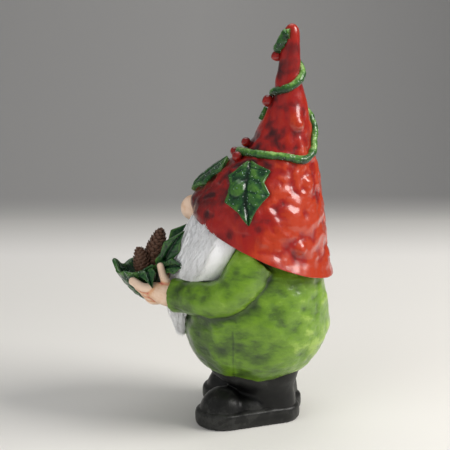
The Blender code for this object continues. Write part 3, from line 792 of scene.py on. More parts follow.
def berry_paint():
    """Glossy dark red."""
    stops = (
        (0.20, (0.05, 0.002, 0.002)),
        (0.55, (0.18, 0.005, 0.004)),
        (1.00, (0.40, 0.016, 0.010)),
    )
    return painted(
        "berry_red_paint", stops, patch=0.004, wash=0.30, rough=0.18, coat=0.9, relief=0.00006,
    )


def cone_paint():
    """Dark brown with tan on the scales' tips."""
    stops = (
        (0.20, (0.003, 0.001, 0.001)),
        (0.60, (0.013, 0.005, 0.003)),
        (0.90, (0.040, 0.016, 0.009)),
        (1.00, (0.120, 0.062, 0.040)),
    )
    return painted(
        "cone_brown_paint", stops, patch=0.003, wash=0.90, rough=0.45, coat=0.25,
        relief=0.00012,
    )


def flake_paint():
    """Glitter flakes in silver, blue and green."""
    paint = Paint("glitter_flakes")
    inputs = {"Vector": paint.place, "Scale": 2600.0}
    cell = paint.add("ShaderNodeTexVoronoi", inputs).outputs["Color"]
    share = paint.add("ShaderNodeSeparateColor", {"Color": cell}).outputs["Red"]
    stops = (
        (0.00, (0.35, 0.62, 0.72)),
        (0.35, (0.80, 0.84, 0.86)),
        (0.60, (0.30, 0.70, 0.55)),
        (0.85, (0.88, 0.90, 0.82)),
    )
    paint.put(paint.shader, "Base Color", paint.ramp(share, stops))
    paint.put(paint.shader, "Metallic", 0.85)
    paint.put(paint.shader, "Roughness", 0.30)
    return paint.material


def fur_paint(name, root, tip):
    """White fibre in grey streaks along its length: painted shade between the locks."""
    paint = Paint(name)
    # The grey streaks stand in for shade between the locks: painted shade; root is their grey and tip
    # the white.
    patches = paint.grain(0.0022, 3.0, 0.6, (1.0, 1.0, 0.08))
    fine = paint.grain(0.0008, 2.0, 0.6, (1.0, 1.0, 0.05))
    value = paint.sums(0.66, (patches, 0.5, 1.5), (fine, 0.5, 0.9))
    paint.put(paint.shader, "Base Color", paint.ramp(value, ((0.15, root), (0.65, tip), (1.0, tip))))
    paint.put(paint.shader, "Roughness", 0.55)
    paint.put(paint.shader, "Sheen Weight", 0.5)
    paint.put(paint.shader, "Sheen Roughness", 0.4)
    paint.put(paint.shader, "Subsurface Weight", 0.25)
    paint.put(paint.shader, "Subsurface Radius", (0.003, 0.003, 0.003))
    paint.bump(fine, 0.0001, 0.5)
    return paint.material


# Geometry Nodes


class Graph(Nodes):
    """A Geometry Nodes tree under construction, with named inputs."""

    def __init__(self, name, **inputs):
        self.tree = bpy.data.node_groups.new(name, "GeometryNodeTree")
        face = self.tree.interface
        face.new_socket("Geometry", in_out="OUTPUT", socket_type="NodeSocketGeometry")
        face.new_socket("Geometry", in_out="INPUT", socket_type="NodeSocketGeometry")
        for label, kind in inputs.items():
            face.new_socket(label.replace("_", " "), in_out="INPUT", socket_type=f"NodeSocket{kind}")
        self.inputs = self.tree.nodes.new("NodeGroupInput").outputs

    def math(self, operation, *values):
        """The result of a Math node."""
        return self.first("ShaderNodeMath", dict(enumerate(values)), operation=operation)

    def times(self, a, b):
        """The product of two values."""
        return self.math("MULTIPLY", a, b)

    def scaled(self, value, factor, base):
        """The value times a factor, plus a base."""
        return self.math("MULTIPLY_ADD", value, factor, base)

    def vector(self, x, y, z):
        """A vector from three values."""
        return self.first("ShaderNodeCombineXYZ", {0: x, 1: y, 2: z})

    def close(self, geometry):
        """Makes instances real, puts the paint on and ends the tree."""
        real = self.first("GeometryNodeRealizeInstances", {"Geometry": geometry})
        inputs = {"Geometry": real, "Material": self.inputs["Paint"]}
        paint = self.first("GeometryNodeSetMaterial", inputs)
        out = self.tree.nodes.new("NodeGroupOutput")
        self.tree.links.new(paint, out.inputs["Geometry"])

    def run(self, obj, **values):
        """The object as a plain mesh that the tree makes with these inputs."""
        modifier = obj.modifiers.new(self.tree.name, "NODES")
        named = {label.replace("_", " "): value for label, value in values.items()}
        modifier.node_group = self.tree
        for item in self.tree.interface.items_tree:
            if item.in_out == "INPUT" and item.name in named:
                modifier[item.identifier] = named[item.name]
        obj.update_tag()
        return baked(obj)


def vine_graph():
    """A rough stem swept along a path."""
    graph = Graph("gnome_vine", Radius="Float", Roughness="Float", Sides="Int", Paint="Material")
    line = graph.first("GeometryNodeMeshToCurve", {"Mesh": graph.inputs["Geometry"]})
    place = graph.first("GeometryNodeInputPosition")
    inputs = {"Vector": place, "Scale": 260.0, "Detail": 1.0}
    swell = graph.add("ShaderNodeTexNoise", inputs).outputs["Fac"]
    grown = graph.scaled(swell, 0.5, 0.75)
    share = graph.add("GeometryNodeSplineParameter").outputs["Factor"]
    start = graph.scaled(graph.math("LESS_THAN", share, 0.17), 0.25, 1.0)
    width = graph.times(graph.times(grown, start), graph.inputs["Radius"])
    inputs = {"Resolution": graph.inputs["Sides"], "Radius": 1.0}
    ring = graph.first("GeometryNodeCurvePrimitiveCircle", inputs)
    inputs = {"Curve": line, "Profile Curve": ring, "Fill Caps": True, "Scale": width}
    stem = graph.first("GeometryNodeCurveToMesh", inputs)
    inputs = {"Vector": place, "Scale": 900.0, "Detail": 3.0}
    bark = graph.add("ShaderNodeTexNoise", inputs).outputs["Fac"]
    depth = graph.times(graph.math("SUBTRACT", bark, 0.5), graph.inputs["Roughness"])
    out = graph.first("GeometryNodeInputNormal")
    push = graph.first("ShaderNodeVectorMath", {0: out, "Scale": depth}, operation="SCALE")
    stem = graph.first("GeometryNodeSetPosition", {"Geometry": stem, "Offset": push})
    graph.close(stem)
    return graph


def berry_graph():
    """Round berries on points, each by its own radius."""
    graph = Graph("gnome_berries", Rings="Int", Paint="Material")
    inputs = {"Mesh": graph.inputs["Geometry"]}
    points = graph.first("GeometryNodeMeshToPoints", inputs)
    inputs = {"Rings": graph.inputs["Rings"], "Segments": 32, "Radius": 1.0}
    bead = graph.first("GeometryNodeMeshUVSphere", inputs)
    size = graph.add("GeometryNodeInputNamedAttribute", {"Name": "radius_of_berry"}, data_type="FLOAT")
    inputs = {"Points": points, "Instance": bead, "Scale": size.outputs[0]}
    beads = graph.first("GeometryNodeInstanceOnPoints", inputs)
    graph.close(beads)
    return graph


def cone_graph():
    """A pine cone: scales in a golden spiral round a core that stands on +Z."""
    inputs = {"Length": "Float", "Radius": "Float", "Scales": "Int", "Scale_Size": "Float"}
    graph = Graph("gnome_pine_cone", **inputs, Paint="Material")
    length, radius, scales = (graph.inputs[k] for k in ("Length", "Radius", "Scales"))
    points = graph.first("GeometryNodePoints", {"Count": scales})
    index = graph.first("GeometryNodeInputIndex")
    share = graph.math("DIVIDE", graph.math("ADD", index, 0.5), scales)
    arch = graph.math("SINE", graph.times(graph.math("POWER", share, 1.05), pi))
    swell = graph.math("POWER", arch, 0.5)
    reach = graph.times(graph.times(swell, radius), 0.86)
    turn = graph.times(index, pi * (3 - 5**0.5))
    place = graph.vector(
        graph.times(reach, graph.math("COSINE", turn)),
        graph.times(reach, graph.math("SINE", turn)),
        graph.times(share, length),
    )
    points = graph.first("GeometryNodeSetPosition", {"Geometry": points, "Position": place})
    inputs = {"Segments": 8, "Rings": 5, "Radius": 1.0}
    bead = graph.first("GeometryNodeMeshUVSphere", inputs)
    lean = graph.scaled(share, 0.5, -0.85)
    tilt = graph.vector(lean, 0.0, graph.math("SUBTRACT", turn, pi / 2))
    grown = graph.scaled(swell, 0.45, 0.55)
    size = graph.times(grown, graph.inputs["Scale Size"])
    scale = graph.vector(size, graph.times(size, 0.34), graph.times(size, 0.95))
    inputs = {"Points": points, "Instance": bead, "Rotation": tilt, "Scale": scale}
    made = graph.first("GeometryNodeInstanceOnPoints", inputs)
    core = graph.first("GeometryNodeMeshUVSphere", {"Segments": 24, "Rings": 14, "Radius": 1.0})
    inputs = {
        "Geometry": core,
        "Translation": graph.vector(0.0, 0.0, graph.times(length, 0.48)),
        "Scale": graph.vector(
            graph.times(radius, 0.84),
            graph.times(radius, 0.84),
            graph.times(length, 0.50),
        ),
    }
    core = graph.first("GeometryNodeTransform", inputs)
    both = graph.add("GeometryNodeJoinGeometry")
    for part in (made, core):
        graph.tree.links.new(part, both.inputs[0])
    graph.close(both.outputs[0])
    return graph


def flake_graph():
    """Glitter flakes scattered on a surface."""
    graph = Graph("gnome_glitter", Density="Float", Flake="Float", Seed="Int", Paint="Material")
    inputs = {key: graph.inputs[key] for key in ("Density", "Seed")}
    inputs["Mesh"] = graph.inputs["Geometry"]
    scatter = graph.add("GeometryNodeDistributePointsOnFaces", inputs)
    inputs = {"Vertices": 5, "Radius": 1.0, "Depth": 0.25}
    flake = graph.first("GeometryNodeMeshCylinder", inputs)
    inputs = {"Min": (-0.5, -0.5, -3.0), "Max": (0.5, 0.5, 3.0), "Seed": graph.inputs["Seed"]}
    lean = graph.first("FunctionNodeRandomValue", inputs, data_type="FLOAT_VECTOR")
    inputs = {"Rotation": scatter.outputs["Rotation"], "Rotate By": lean}
    turned = graph.first("FunctionNodeRotateRotation", inputs, rotation_space="LOCAL")
    inputs = {2: 0.6, 3: 1.3, "Seed": graph.inputs["Seed"]}
    grown = graph.add("FunctionNodeRandomValue", inputs, data_type="FLOAT").outputs[1]
    size = graph.times(grown, graph.inputs["Flake"])
    inputs = {"Points": scatter.outputs["Points"], "Instance": flake, "Rotation": turned, "Scale": size}
    made = graph.first("GeometryNodeInstanceOnPoints", inputs)
    graph.close(made)
    return graph


def fur_graph():
    """Strands that follow guide lines: each guide becomes a lock that draws together to its tip."""
    graph = Graph(
        "gnome_fur", Strands="Int", Spread="Float", Width="Float", Seed="Int", Paint="Material"
    )
    line = graph.first("GeometryNodeMeshToCurve", {"Mesh": graph.inputs["Geometry"]})
    inputs = {"Geometry": line, "Amount": graph.inputs["Strands"]}
    line = graph.first("GeometryNodeDuplicateElements", inputs, domain="SPLINE")
    inputs = {"Min": (-1.0, -1.0, -1.0), "Max": (1.0, 1.0, 1.0), "Seed": graph.inputs["Seed"]}
    away = graph.first("FunctionNodeRandomValue", inputs, data_type="FLOAT_VECTOR")
    away = graph.first(
        "GeometryNodeFieldOnDomain", {"Value": away}, data_type="FLOAT_VECTOR", domain="CURVE"
    )
    share = graph.add("GeometryNodeSplineParameter").outputs["Factor"]
    closing = graph.scaled(share, -0.55, 1.0)
    open_ = graph.times(closing, graph.inputs["Spread"])
    push = graph.first("ShaderNodeVectorMath", {0: away, "Scale": open_}, operation="SCALE")
    line = graph.first("GeometryNodeSetPosition", {"Geometry": line, "Offset": push})
    thin = graph.math("SUBTRACT", 1.08, graph.math("POWER", share, 2.0))
    width = graph.times(thin, graph.inputs["Width"])
    ring = graph.first("GeometryNodeCurvePrimitiveCircle", {"Resolution": 3, "Radius": 1.0})
    inputs = {"Curve": line, "Profile Curve": ring, "Scale": width, "Fill Caps": True}
    hair = graph.first("GeometryNodeCurveToMesh", inputs)
    hair = graph.first("GeometryNodeSetShadeSmooth", {"Geometry": hair})
    graph.close(hair)
    return graph


# Shapes


def hat_ring(share):
    """Centre, radius, direction back along the ring, and upward normal at this share of the hat."""
    back, height, radius, tilt = along(HAT_RINGS, share)
    tilt = radians(tilt)
    return (
        Vector((0, back, height)),
        radius,
        Vector((0, cos(tilt), -sin(tilt))),
        Vector((0, sin(tilt), cos(tilt))),
    )


def hat_buttons():
    """Centre, size and height of each button on the hat."""
    found = []
    for share, degrees, size, rise in HAT_BUTTONS:
        centre, radius, back, _ = hat_ring(share)
        turn = radians(degrees)
        found.append((centre + radius * (sin(turn) * X_AXIS - cos(turn) * back), size, rise))
    return found


BUTTONS = hat_buttons()


def hat_relief(point, radius):
    """How far the hat stands out: soft lumps, and round buttons."""
    height = 0.0013 * lump(point, 0.011) * min(1.0, radius / 0.02)
    for centre, size, rise in BUTTONS:
        height += rise * exp(-(((point - centre).length / (0.85 * size)) ** 4))
    return height


def hat_point(share, angle):
    """A point on the hat, angle round from its front."""
    centre, radius, back, up = hat_ring(share)
    outward = sin(angle) * X_AXIS - cos(angle) * back
    plain = centre + radius * outward
    turn = (angle + pi) % (2 * pi) - pi
    notch = NOSE_NOTCH * exp(-((turn / radians(10)) ** 2)) * max(0.0, 1 - share / 0.16)
    relief = hat_relief(plain, radius) * (0.35 + 0.65 * min(1.0, share / 0.06))
    return plain + relief * outward + notch * up


def hat_share_at(height, angle):
    """The share of the hat's length at which its surface reaches this height."""
    low, high = 0.0, 1.0
    for _ in range(20):
        middle = (low + high) / 2
        if hat_point(middle, angle).z < height:
            low = middle
        else:
            high = middle
    return (low + high) / 2


def hat_normal(share, angle):
    """The outward direction of the hat's surface."""
    step = 0.02
    up = hat_point(min(share + step, 1), angle) - hat_point(max(share - step, 0), angle)
    round_ = hat_point(share, angle + step) - hat_point(share, angle - step)
    return round_.cross(up).normalized()


def on_hat(degrees, height, lift):
    """A point this far off the hat, at degrees round it and at a height."""
    turn = radians(degrees)
    share = hat_share_at(min(height, hat_ring(1)[0].z), turn)
    return hat_point(share, turn) + lift * hat_normal(share, turn)


def slope_length(share, angle):
    """Metres along the hat's slope for a whole share, at this place."""
    step = 0.01
    share = max(share, step)
    return (hat_point(share + step, angle) - hat_point(share - step, angle)).length / (2 * step)


def hat_mesh(sides=200, rows=190):
    """The tall hat with a rounded brim, hollowed a little underneath."""
    centre, _, _, up = hat_ring(0)
    turns = ring_angles(sides)
    rim = [hat_point(0, a) for a in turns]
    middle = centre + 0.0026 * up
    rings = [[middle + s * (p - centre) for p in rim] for s in (0.3, 0.6, 0.86)]
    rings.append([centre + 0.93 * (p - centre) + 0.0022 * up for p in rim])
    for inset, rise in ((0.0022, 0.0010), (0.0014, 0.0001), (0.0005, 0.0002)):
        rings.append([p - inset * (p - centre).normalized() + rise * up for p in rim])
    for i in range(1, rows + 1):
        share = (i / rows) ** 1.05
        rings.append([hat_point(share, a) for a in turns])
    top = hat_ring(1)[0] + HAT_TIP_RISE * Z_AXIS
    last = rings[-1]
    for s, rise in ((0.86, 0.0028), (0.55, 0.0046), (0.25, 0.0053)):
        rings.append([hat_ring(1)[0] + s * (p - hat_ring(1)[0]) + rise * Z_AXIS for p in last])
    return loft("hat", rings, middle, top)


def robe_mesh(sides=96, rows=64):
    """The belly of the robe, from its wavy hem to inside the hat."""
    turns = ring_angles(sides)
    rings = []
    for i in range(rows + 1):
        back, height, depth, width = along(ROBE_RINGS, i / rows)
        ring = []
        for turn in turns:
            wave = 0.0006 * sin(5 * turn + 1) * max(0.0, 1 - i / 8)
            ring.append(Vector((width * sin(turn), back - depth * cos(turn), height + wave)))
        rings.append(ring)
    bottom = Vector((0, ROBE_RINGS[0][0], ROBE_RINGS[0][1] + 0.0012))
    top = Vector((0, ROBE_RINGS[-1][0], ROBE_RINGS[-1][1] + 0.003))
    return loft("robe", rings, bottom, top)


def sleeve_mesh(flip):
    """A bent sleeve with a cuff that flares a little."""
    count = 40
    path = smooth_path((SHOULDER, ELBOW, CUFF), count)
    radii = [along(SLEEVE_RADII, i / (count - 1))[0] for i in range(count)]
    radii = [r + 0.0007 * max(0.0, (i - 32) / 7) ** 2 for i, r in enumerate(radii)]
    if flip:
        path = [mirrored(p) for p in path]
    return tube("sleeve", path, radii, 48, 0.06)


def dish_point(turn, share, wall=0.0):
    """A point on the dish, turn round from its front, share of the way from its middle to its rim."""
    length = DISH_REACH if cos(turn) > 0 else DISH_BACK
    reach = length * cos(turn)
    point = abs(cos(DISH_POINTS / 2 * turn)) ** 3 * share**4
    tip = exp(-((sin(turn / 2) / 0.2) ** 2)) * share**2
    rim = DISH_HEIGHT - DISH_SLOPE * reach + 0.0018 * point + DISH_TIP * tip
    swell = share * (1 + 0.04 * point + 0.05 * tip)
    return Vector(
        (
            (DISH_HALF_WIDTH * swell - wall * share) * sin(turn),
            -DISH_FORWARD - (length * swell - wall * share) * cos(turn),
            DISH_BOTTOM + rim * share**1.7 + wall * (1 - share),
        )
    )


def hand_meshes(flip):
    """Palm, four fingers along the dish and a raised thumb."""
    palm = (
        CUFF + Vector((0, 0.0040, 0)),
        CUFF + Vector((-0.0010, -0.0045, 0.0004)),
        CUFF + Vector((-0.0032, -0.0120, 0.0020)),
    )
    bars = [(palm, (0.0062, 0.0070, 0.0053))]
    for k in range(4):
        root = CUFF + Vector((-0.0022 - 0.0024 * k, -0.0070, 0.0044 - 0.0030 * k))
        tip = dish_point(radians(57 + 5 * k), 0.88 - 0.105 * k) + FINGER_RADIUS * 0.8 * X_AXIS
        knuckle = (root + tip) / 2 + Vector((0.0040, -0.0012, -0.0012))
        radii = (1.05 * FINGER_RADIUS, FINGER_RADIUS, 0.92 * FINGER_RADIUS)
        bars.append(((root, knuckle, tip), radii))
    thumb = (
        CUFF + Vector((-0.0020, -0.0035, 0.0050)),
        CUFF + Vector((-0.0026, -0.0068, 0.0110)),
        CUFF + Vector((-0.0044, -0.0086, 0.0172)),
    )
    bars.append((thumb, (1.35 * THUMB_RADIUS, THUMB_RADIUS, 0.9 * THUMB_RADIUS)))
    made = []
    for knots, radii in bars:
        path = smooth_path(knots, 16)
        if flip:
            path = [mirrored(p) for p in path]
        sized = [along([(r,) for r in radii], i / 15)[0] for i in range(16)]
        made.append(tube("finger", path, sized, 24, 0.8))
    return made


def boot_frame(flip):
    """Heel centre, and the directions along and across the boot."""
    turn = -BOOT_SPLAY if flip else BOOT_SPLAY
    heel = Vector((-HEEL_APART / 2 if flip else HEEL_APART / 2, HEEL_BACK, 0))
    return heel, Vector((sin(turn), -cos(turn), 0)), Vector((cos(turn), sin(turn), 0))


def sole_outline(flip, inset, height, per_end=40):
    """The foot's outline: a round heel and a wider round toe, drawn in by inset."""
    heel, ahead, across = boot_frame(flip)
    toe = heel + TOE_REACH * ahead
    lean = (TOE_RADIUS - HEEL_RADIUS) / TOE_REACH
    ring = []
    for centre, radius, sign in ((toe, TOE_RADIUS - inset, 1), (heel, HEEL_RADIUS - inset, -1)):
        spread = pi / 2 + sign * lean
        for k in range(per_end):
            turn = -spread + 2 * spread * k / (per_end - 1)
            out = sign * (cos(turn) * ahead + sin(turn) * across)
            ring.append(centre + radius * out + height * Z_AXIS)
    return ring


def boot_meshes(flip):
    """Sole with a welt line, round toe cap, and a shaft that flares up under the hem."""
    levels = list(SOLE_FOOT)
    levels += [(inset, SOLE_THICKNESS + above) for inset, above in SOLE_TOP]
    made = [loft("sole", [sole_outline(flip, inset, height) for inset, height in levels])]
    heel, ahead, across = boot_frame(flip)
    toe = heel + TOE_REACH * ahead
    rows, sides = 18, 48
    rings = []
    for i in range(rows):
        rise, spread = sin(pi / 2 * i / rows), cos(pi / 2 * i / rows)
        height = SOLE_THICKNESS - 0.0060 + (TOE_CAP_HEIGHT + 0.0060) * rise
        reach = TOE_RADIUS - 0.0016
        turns = ring_angles(sides)
        rings.append(
            [
                toe + spread * reach * (cos(t) * across + sin(t) * ahead) + height * Z_AXIS
                for t in turns
            ]
        )
    low = toe + (SOLE_THICKNESS - 0.0060) * Z_AXIS
    made.append(loft("toe_cap", rings, low, toe + (SOLE_THICKNESS + TOE_CAP_HEIGHT) * Z_AXIS))
    centre = heel + INSTEP_REACH * ahead + SOLE_THICKNESS * Z_AXIS
    rings = []
    for i in range(1, 16):
        rise, spread = -cos(pi * i / 16), sin(pi * i / 16)
        rings.append(
            [
                centre
                + spread * (INSTEP_WIDTH * cos(t) * across + INSTEP_LENGTH * sin(t) * ahead)
                + INSTEP_HEIGHT * rise * Z_AXIS
                for t in turns
            ]
        )
    rise = INSTEP_HEIGHT * Z_AXIS
    made.append(loft("instep", rings, centre - rise, centre + rise))
    sign = -1 if flip else 1
    # Each row: distance back, height, half depth, half width and distance from the middle
    shaft = (
        (0.0105, SOLE_THICKNESS - 0.0060, 0.0187, 0.0124, 0.0112),
        (0.0102, 0.0140, 0.0184, 0.0124, 0.0112),
        (0.0088, SHAFT_WAIST, 0.0188, 0.0128, 0.0124),
        (0.0052, 0.0275, 0.0240, 0.0142, 0.0146),
        (0.0038, 0.0330, 0.0270, 0.0150, 0.0145),
        (0.0036, 0.0380, 0.0270, 0.0150, 0.0145),
    )
    rings = []
    for i in range(31):
        back, height, depth, width, apart = along(shaft, i / 30)
        turns = ring_angles(64)
        rings.append(
            [Vector((sign * apart + width * cos(t), back + depth * sin(t), height)) for t in turns]
        )
    made.append(loft("shaft", rings))
    return made


def web_mesh():
    """The web that joins the boots behind."""
    middle, half = 0.01025, 0.01825
    rows = ((0.0, 0, 0), (0.0080, 0, 0), (SHAFT_WAIST, 0, -0.0005), (0.0380, 0.0050, 0.0060))
    turns = ring_angles(48)
    rings = [
        [Vector(((0.0120 + wider) * cos(t), middle + (half + deeper) * sin(t), height)) for t in turns]
        for height, wider, deeper in rows
    ]
    return loft("web", rings)


def leaf_width(share, half_width):
    """Half the width of a holly leaf at this share of its length, from its listed outline."""
    return half_width * between(HOLLY_OUTLINE, share)


def leaf_mesh(name, place, half_width, length, under, rows=64, across=28):
    """A thick holly leaf with a sunk midrib, side veins and raised edges."""
    top, bottom = [], []
    rib = 0.028 * length
    for r in range(rows + 1):
        share = r / rows
        width = leaf_width(share, half_width)
        for k in range(across + 1):
            side = 2 * k / across - 1
            point, face = place(share, side * width)
            reach = abs(side)
            midrib = exp(-((side * width / rib) ** 2))
            veins = sum(
                exp(-(((share - v - 0.16 * reach) * length / (0.6 * rib)) ** 2)) for v in HOLLY_VEINS
            )
            rim = exp(-(((1 - reach) * width / (1.1 * rib)) ** 2))
            pillow = 0.35 * LEAF_THICKNESS * (1 - (2 * reach - 1) ** 2)
            height = 0.30 * LEAF_THICKNESS + pillow + 0.00045 * rim
            height -= 0.0007 * midrib + 0.00035 * min(veins, 1) * (1 - reach**3)
            height += 0.00012 * lump(point, 0.004)
            top.append(point + height * face)
            bottom.append(point - under * face)
    count, line = len(top), across + 1
    faces = []
    for i in range(rows):
        for k in range(across):
            a = i * line + k
            faces.append((a, a + 1, a + line + 1, a + line))
            faces.append((count + a, count + a + line, count + a + line + 1, count + a + 1))
    loop = list(range(across + 1))
    loop += [i * line + across for i in range(1, rows + 1)]
    loop += [rows * line + k for k in range(across - 1, -1, -1)]
    loop += [i * line for i in range(rows - 1, 0, -1)]
    for a, b in zip(loop, loop[1:] + loop[:1]):
        faces.append((a, count + a, count + b, b))
    return skin_mesh(name, top + bottom, faces)


def free_leaf(name, knots, blade):
    """A leaf that curves from base to tip and cups towards its face."""
    side, half_width, cup = blade
    side = Vector(side).normalized()
    base, bend, tip = (Vector(k) for k in knots)
    length = (bend - base).length + (tip - bend).length

    def place(share, sideways):
        middle = (1 - share) ** 2 * base + 2 * share * (1 - share) * bend + share**2 * tip
        ahead = (2 * (1 - share) * (bend - base) + 2 * share * (tip - bend)).normalized()
        face = side.cross(ahead).normalized()
        rise = cup * (sideways / half_width) ** 2 * half_width
        return middle + sideways * side + rise * face, face

    return leaf_mesh(name, place, half_width, length, 0.4 * LEAF_THICKNESS, 48, 20)


def hat_leaf(name, degrees, height, length, heading, half_width):
    """A leaf laid on the hat, hanging from its stem and turned by heading."""
    start_turn, heading = radians(degrees), radians(heading)
    start = hat_share_at(height, start_turn)

    def place(share, sideways):
        down = share * length * cos(heading) + sideways * sin(heading)
        round_ = -share * length * sin(heading) + sideways * cos(heading)
        here = start
        for _ in range(4):
            here -= down / 4 / slope_length(here, start_turn)
        turn = start_turn + round_ / along(HAT_RINGS, here)[2]
        point, face = hat_point(max(here, 0.01), turn), hat_normal(max(here, 0.02), turn)
        return point + 0.5 * LEAF_THICKNESS * face, face

    return leaf_mesh(name, place, half_width, length, LEAF_THICKNESS)


def dish_mesh(sides=216, rows=56):
    """The cup of leaves: each point of its rim is the tip of one, with its midrib below."""
    turns = ring_angles(sides)
    step = 2 * pi / DISH_POINTS

    def leafy(turn, share, wall):
        point = dish_point(turn, share, wall)
        off = (turn + step / 2) % step - step / 2
        middle = exp(-((off * share * 0.020 / 0.0008) ** 2))
        border = exp(-(((abs(off) - step / 2) * share * 0.020 / 0.0007) ** 2))
        veins = 0.5 + 0.5 * cos(2 * pi * (share * 7 - abs(off) * 3))
        out = Vector((sin(turn), -cos(turn), -0.6)).normalized()
        depth = (-0.0005 * middle + 0.0004 * border - 0.00022 * veins**4) * min(1, share * 2)
        return point + (depth if wall == 0 else -depth) * out

    outer = [[leafy(a, i / rows, 0) for a in turns] for i in range(1, rows + 1)]
    inner = [[leafy(a, i / rows, DISH_WALL) for a in turns] for i in range(rows, 0, -1)]
    lip = []
    for s in (0.35, 0.65):
        lip.append(
            [p.lerp(q, s) + 0.0005 * Z_AXIS for p, q in zip(outer[-1], inner[0])]
        )
    bottom = dish_point(0, 0)
    return loft("dish", outer + lip + inner, bottom, bottom + DISH_WALL * Z_AXIS)


def fuller(value):
    """A sine or cosine pushed outwards, so that an oval turns a little square."""
    return abs(value) ** BEARD_FULLNESS * (1 if value > 0 else -1)


def beard_point(share, angle):
    """A point on the beard, combed into locks that run down to its tip."""
    height, front, width, root = along(BEARD_RINGS, share)
    depth = (root + front) / 2 if root + front > 0 else 0.001
    centre = root - depth
    lock = BEARD_LOCK_DEPTH * sin(BEARD_LOCKS * angle + 4.0 * share) * min(1.0, width / 0.02)
    lock *= max(0.0, cos(angle))
    return Vector(
        ((width + lock) * fuller(sin(angle)), centre - (depth + lock) * fuller(cos(angle)), height)
    )


SLEEVE_LINES = [smooth_path((SHOULDER, ELBOW, CUFF), 16)]
SLEEVE_LINES.append([mirrored(p) for p in SLEEVE_LINES[0]])


def buried(point):
    """Whether a point lies in the robe, a sleeve or the hat."""
    for path in SLEEVE_LINES:
        if min((point - p).length for p in path) < 0.0115:
            return True
    spans = len(ROBE_RINGS) - 1
    for i in range(spans):
        low, high = ROBE_RINGS[i], ROBE_RINGS[i + 1]
        if low[1] <= point.z <= high[1]:
            f = (point.z - low[1]) / (high[1] - low[1])
            back, _, depth, width = (a + (b - a) * f for a, b in zip(low, high))
            return (point.x / width) ** 2 + ((point.y - back) / depth) ** 2 < 1
    return False


def beard_guides(count, seed, lift):
    """Guide lines of the fur: each runs down the beard from its root, a little off its surface."""
    rng = np.random.default_rng(seed)
    points, edges = [], []
    while count:
        share, angle = rng.uniform(0.02, 0.86), rng.uniform(-1.45, 1.45)
        reach = rng.uniform(0.16, 0.30)
        drift, phase = rng.normal(0, 0.10), rng.uniform(0, 6.3)
        rise = lift * rng.uniform(0.4, 1.6)
        line = []
        for k in range(8):
            t = k / 7
            s = share + reach * t
            a = angle * (1 - 0.12 * t) + drift * t + 0.03 * sin(phase + 4 * t)
            p = beard_point(min(s, 1.0), a)
            out = Vector((sin(a), -cos(a), 0.1)).normalized()
            p += out * rise * (0.15 + t) - Z_AXIS * max(0.0, s - 1.0) * 0.02
            if buried(p):
                break
            line.append(p)
        if len(line) < 4:
            continue
        first = len(points)
        points += line
        edges += [(first + k, first + k + 1) for k in range(len(line) - 1)]
        count -= 1
    return plain_mesh("beard_guides", points, edges)


# Operators


class GnomePiece:
    """What the operators share."""

    bl_options = {"REGISTER", "UNDO"}

    def execute(self, context):
        """Builds the piece from the scene's settings."""
        self.build(context.scene.gnome_paints, context.scene.gnome_sizes)
        return {"FINISHED"}


class GNOME_OT_hat(GnomePiece, bpy.types.Operator):
    """Models and paints the tall red hat"""

    bl_idname = "gnome.hat"
    bl_label = "Hat"

    def build(self, paints, sizes):
        mesh = hat_mesh()
        centre, _, _, up = hat_ring(0)

        def height(point, normal):
            above = (point - centre).dot(up)
            if above < 0.003:
                return 0.0
            ease = min(1.0, (above - 0.003) / 0.006)
            slim = 0.35 + 0.65 * min(1.0, max(0.0, 0.215 - point.z) / 0.05)
            dents = sizes.dent * (pressed(point, 0.0115) - 0.45)
            return ease * slim * (dents + 0.00035 * lump(point, 0.0050))

        carve(mesh, height)
        cast_piece(shown("hat", mesh), hat_paint(paints), rounds=60, depth=0.00045)


class GNOME_OT_robe(GnomePiece, bpy.types.Operator):
    """Models and paints the robe with its sleeves"""

    bl_idname = "gnome.robe"
    bl_label = "Robe"

    def build(self, paints, sizes):
        obj = cast("robe", [robe_mesh(), sleeve_mesh(False), sleeve_mesh(True)], ROBE_GRAIN, 22)

        def height(point, normal):
            pulled = Vector((0.6 * point.x, 0.5 * point.y + 0.25 * point.z, 1.2 * point.z))
            relief = 0.0013 * lump(point, 0.015) + 0.00026 * lump(pulled, 0.0062)
            if abs(point.x) > 0.02 and point.z < SEAM_TOP:
                off = point.y - SEAM_BACK - 0.0005 * lump(point, 0.010)
                relief -= SEAM_DEPTH * exp(-((off / (1.5 * SEAM_DEPTH)) ** 2))
            return relief + 0.00016 * lump(pulled, 0.0026) + 0.00014 * lump(pulled, 0.0013)

        carve(obj.data, height)
        cast_piece(obj, robe_paint(paints), rounds=40, depth=0.00055)


class GNOME_OT_boots(GnomePiece, bpy.types.Operator):
    """Models and paints both boots"""

    bl_idname = "gnome.boots"
    bl_label = "Boots"

    def build(self, paints, sizes):
        left, right = boot_meshes(False), boot_meshes(True)
        black = boot_paint()

        def height(point, normal):
            if point.z < 0.0015:
                return 0.0
            return 0.00030 * lump(point, 0.009) + 0.00004 * lump(point, 0.0026)

        uppers = [*left[1:], *right[1:], web_mesh()]
        for name, shapes, rounds in (("boots", uppers, 18), ("boot_soles", [left[0], right[0]], 2)):
            obj = cast(name, shapes, BOOT_GRAIN, rounds)
            carve(obj.data, height)
            for vert in obj.data.vertices:
                if vert.co.z < 0.0004:
                    vert.co.z = 0.0
            cast_piece(obj, black, rounds=20, depth=0.00030)


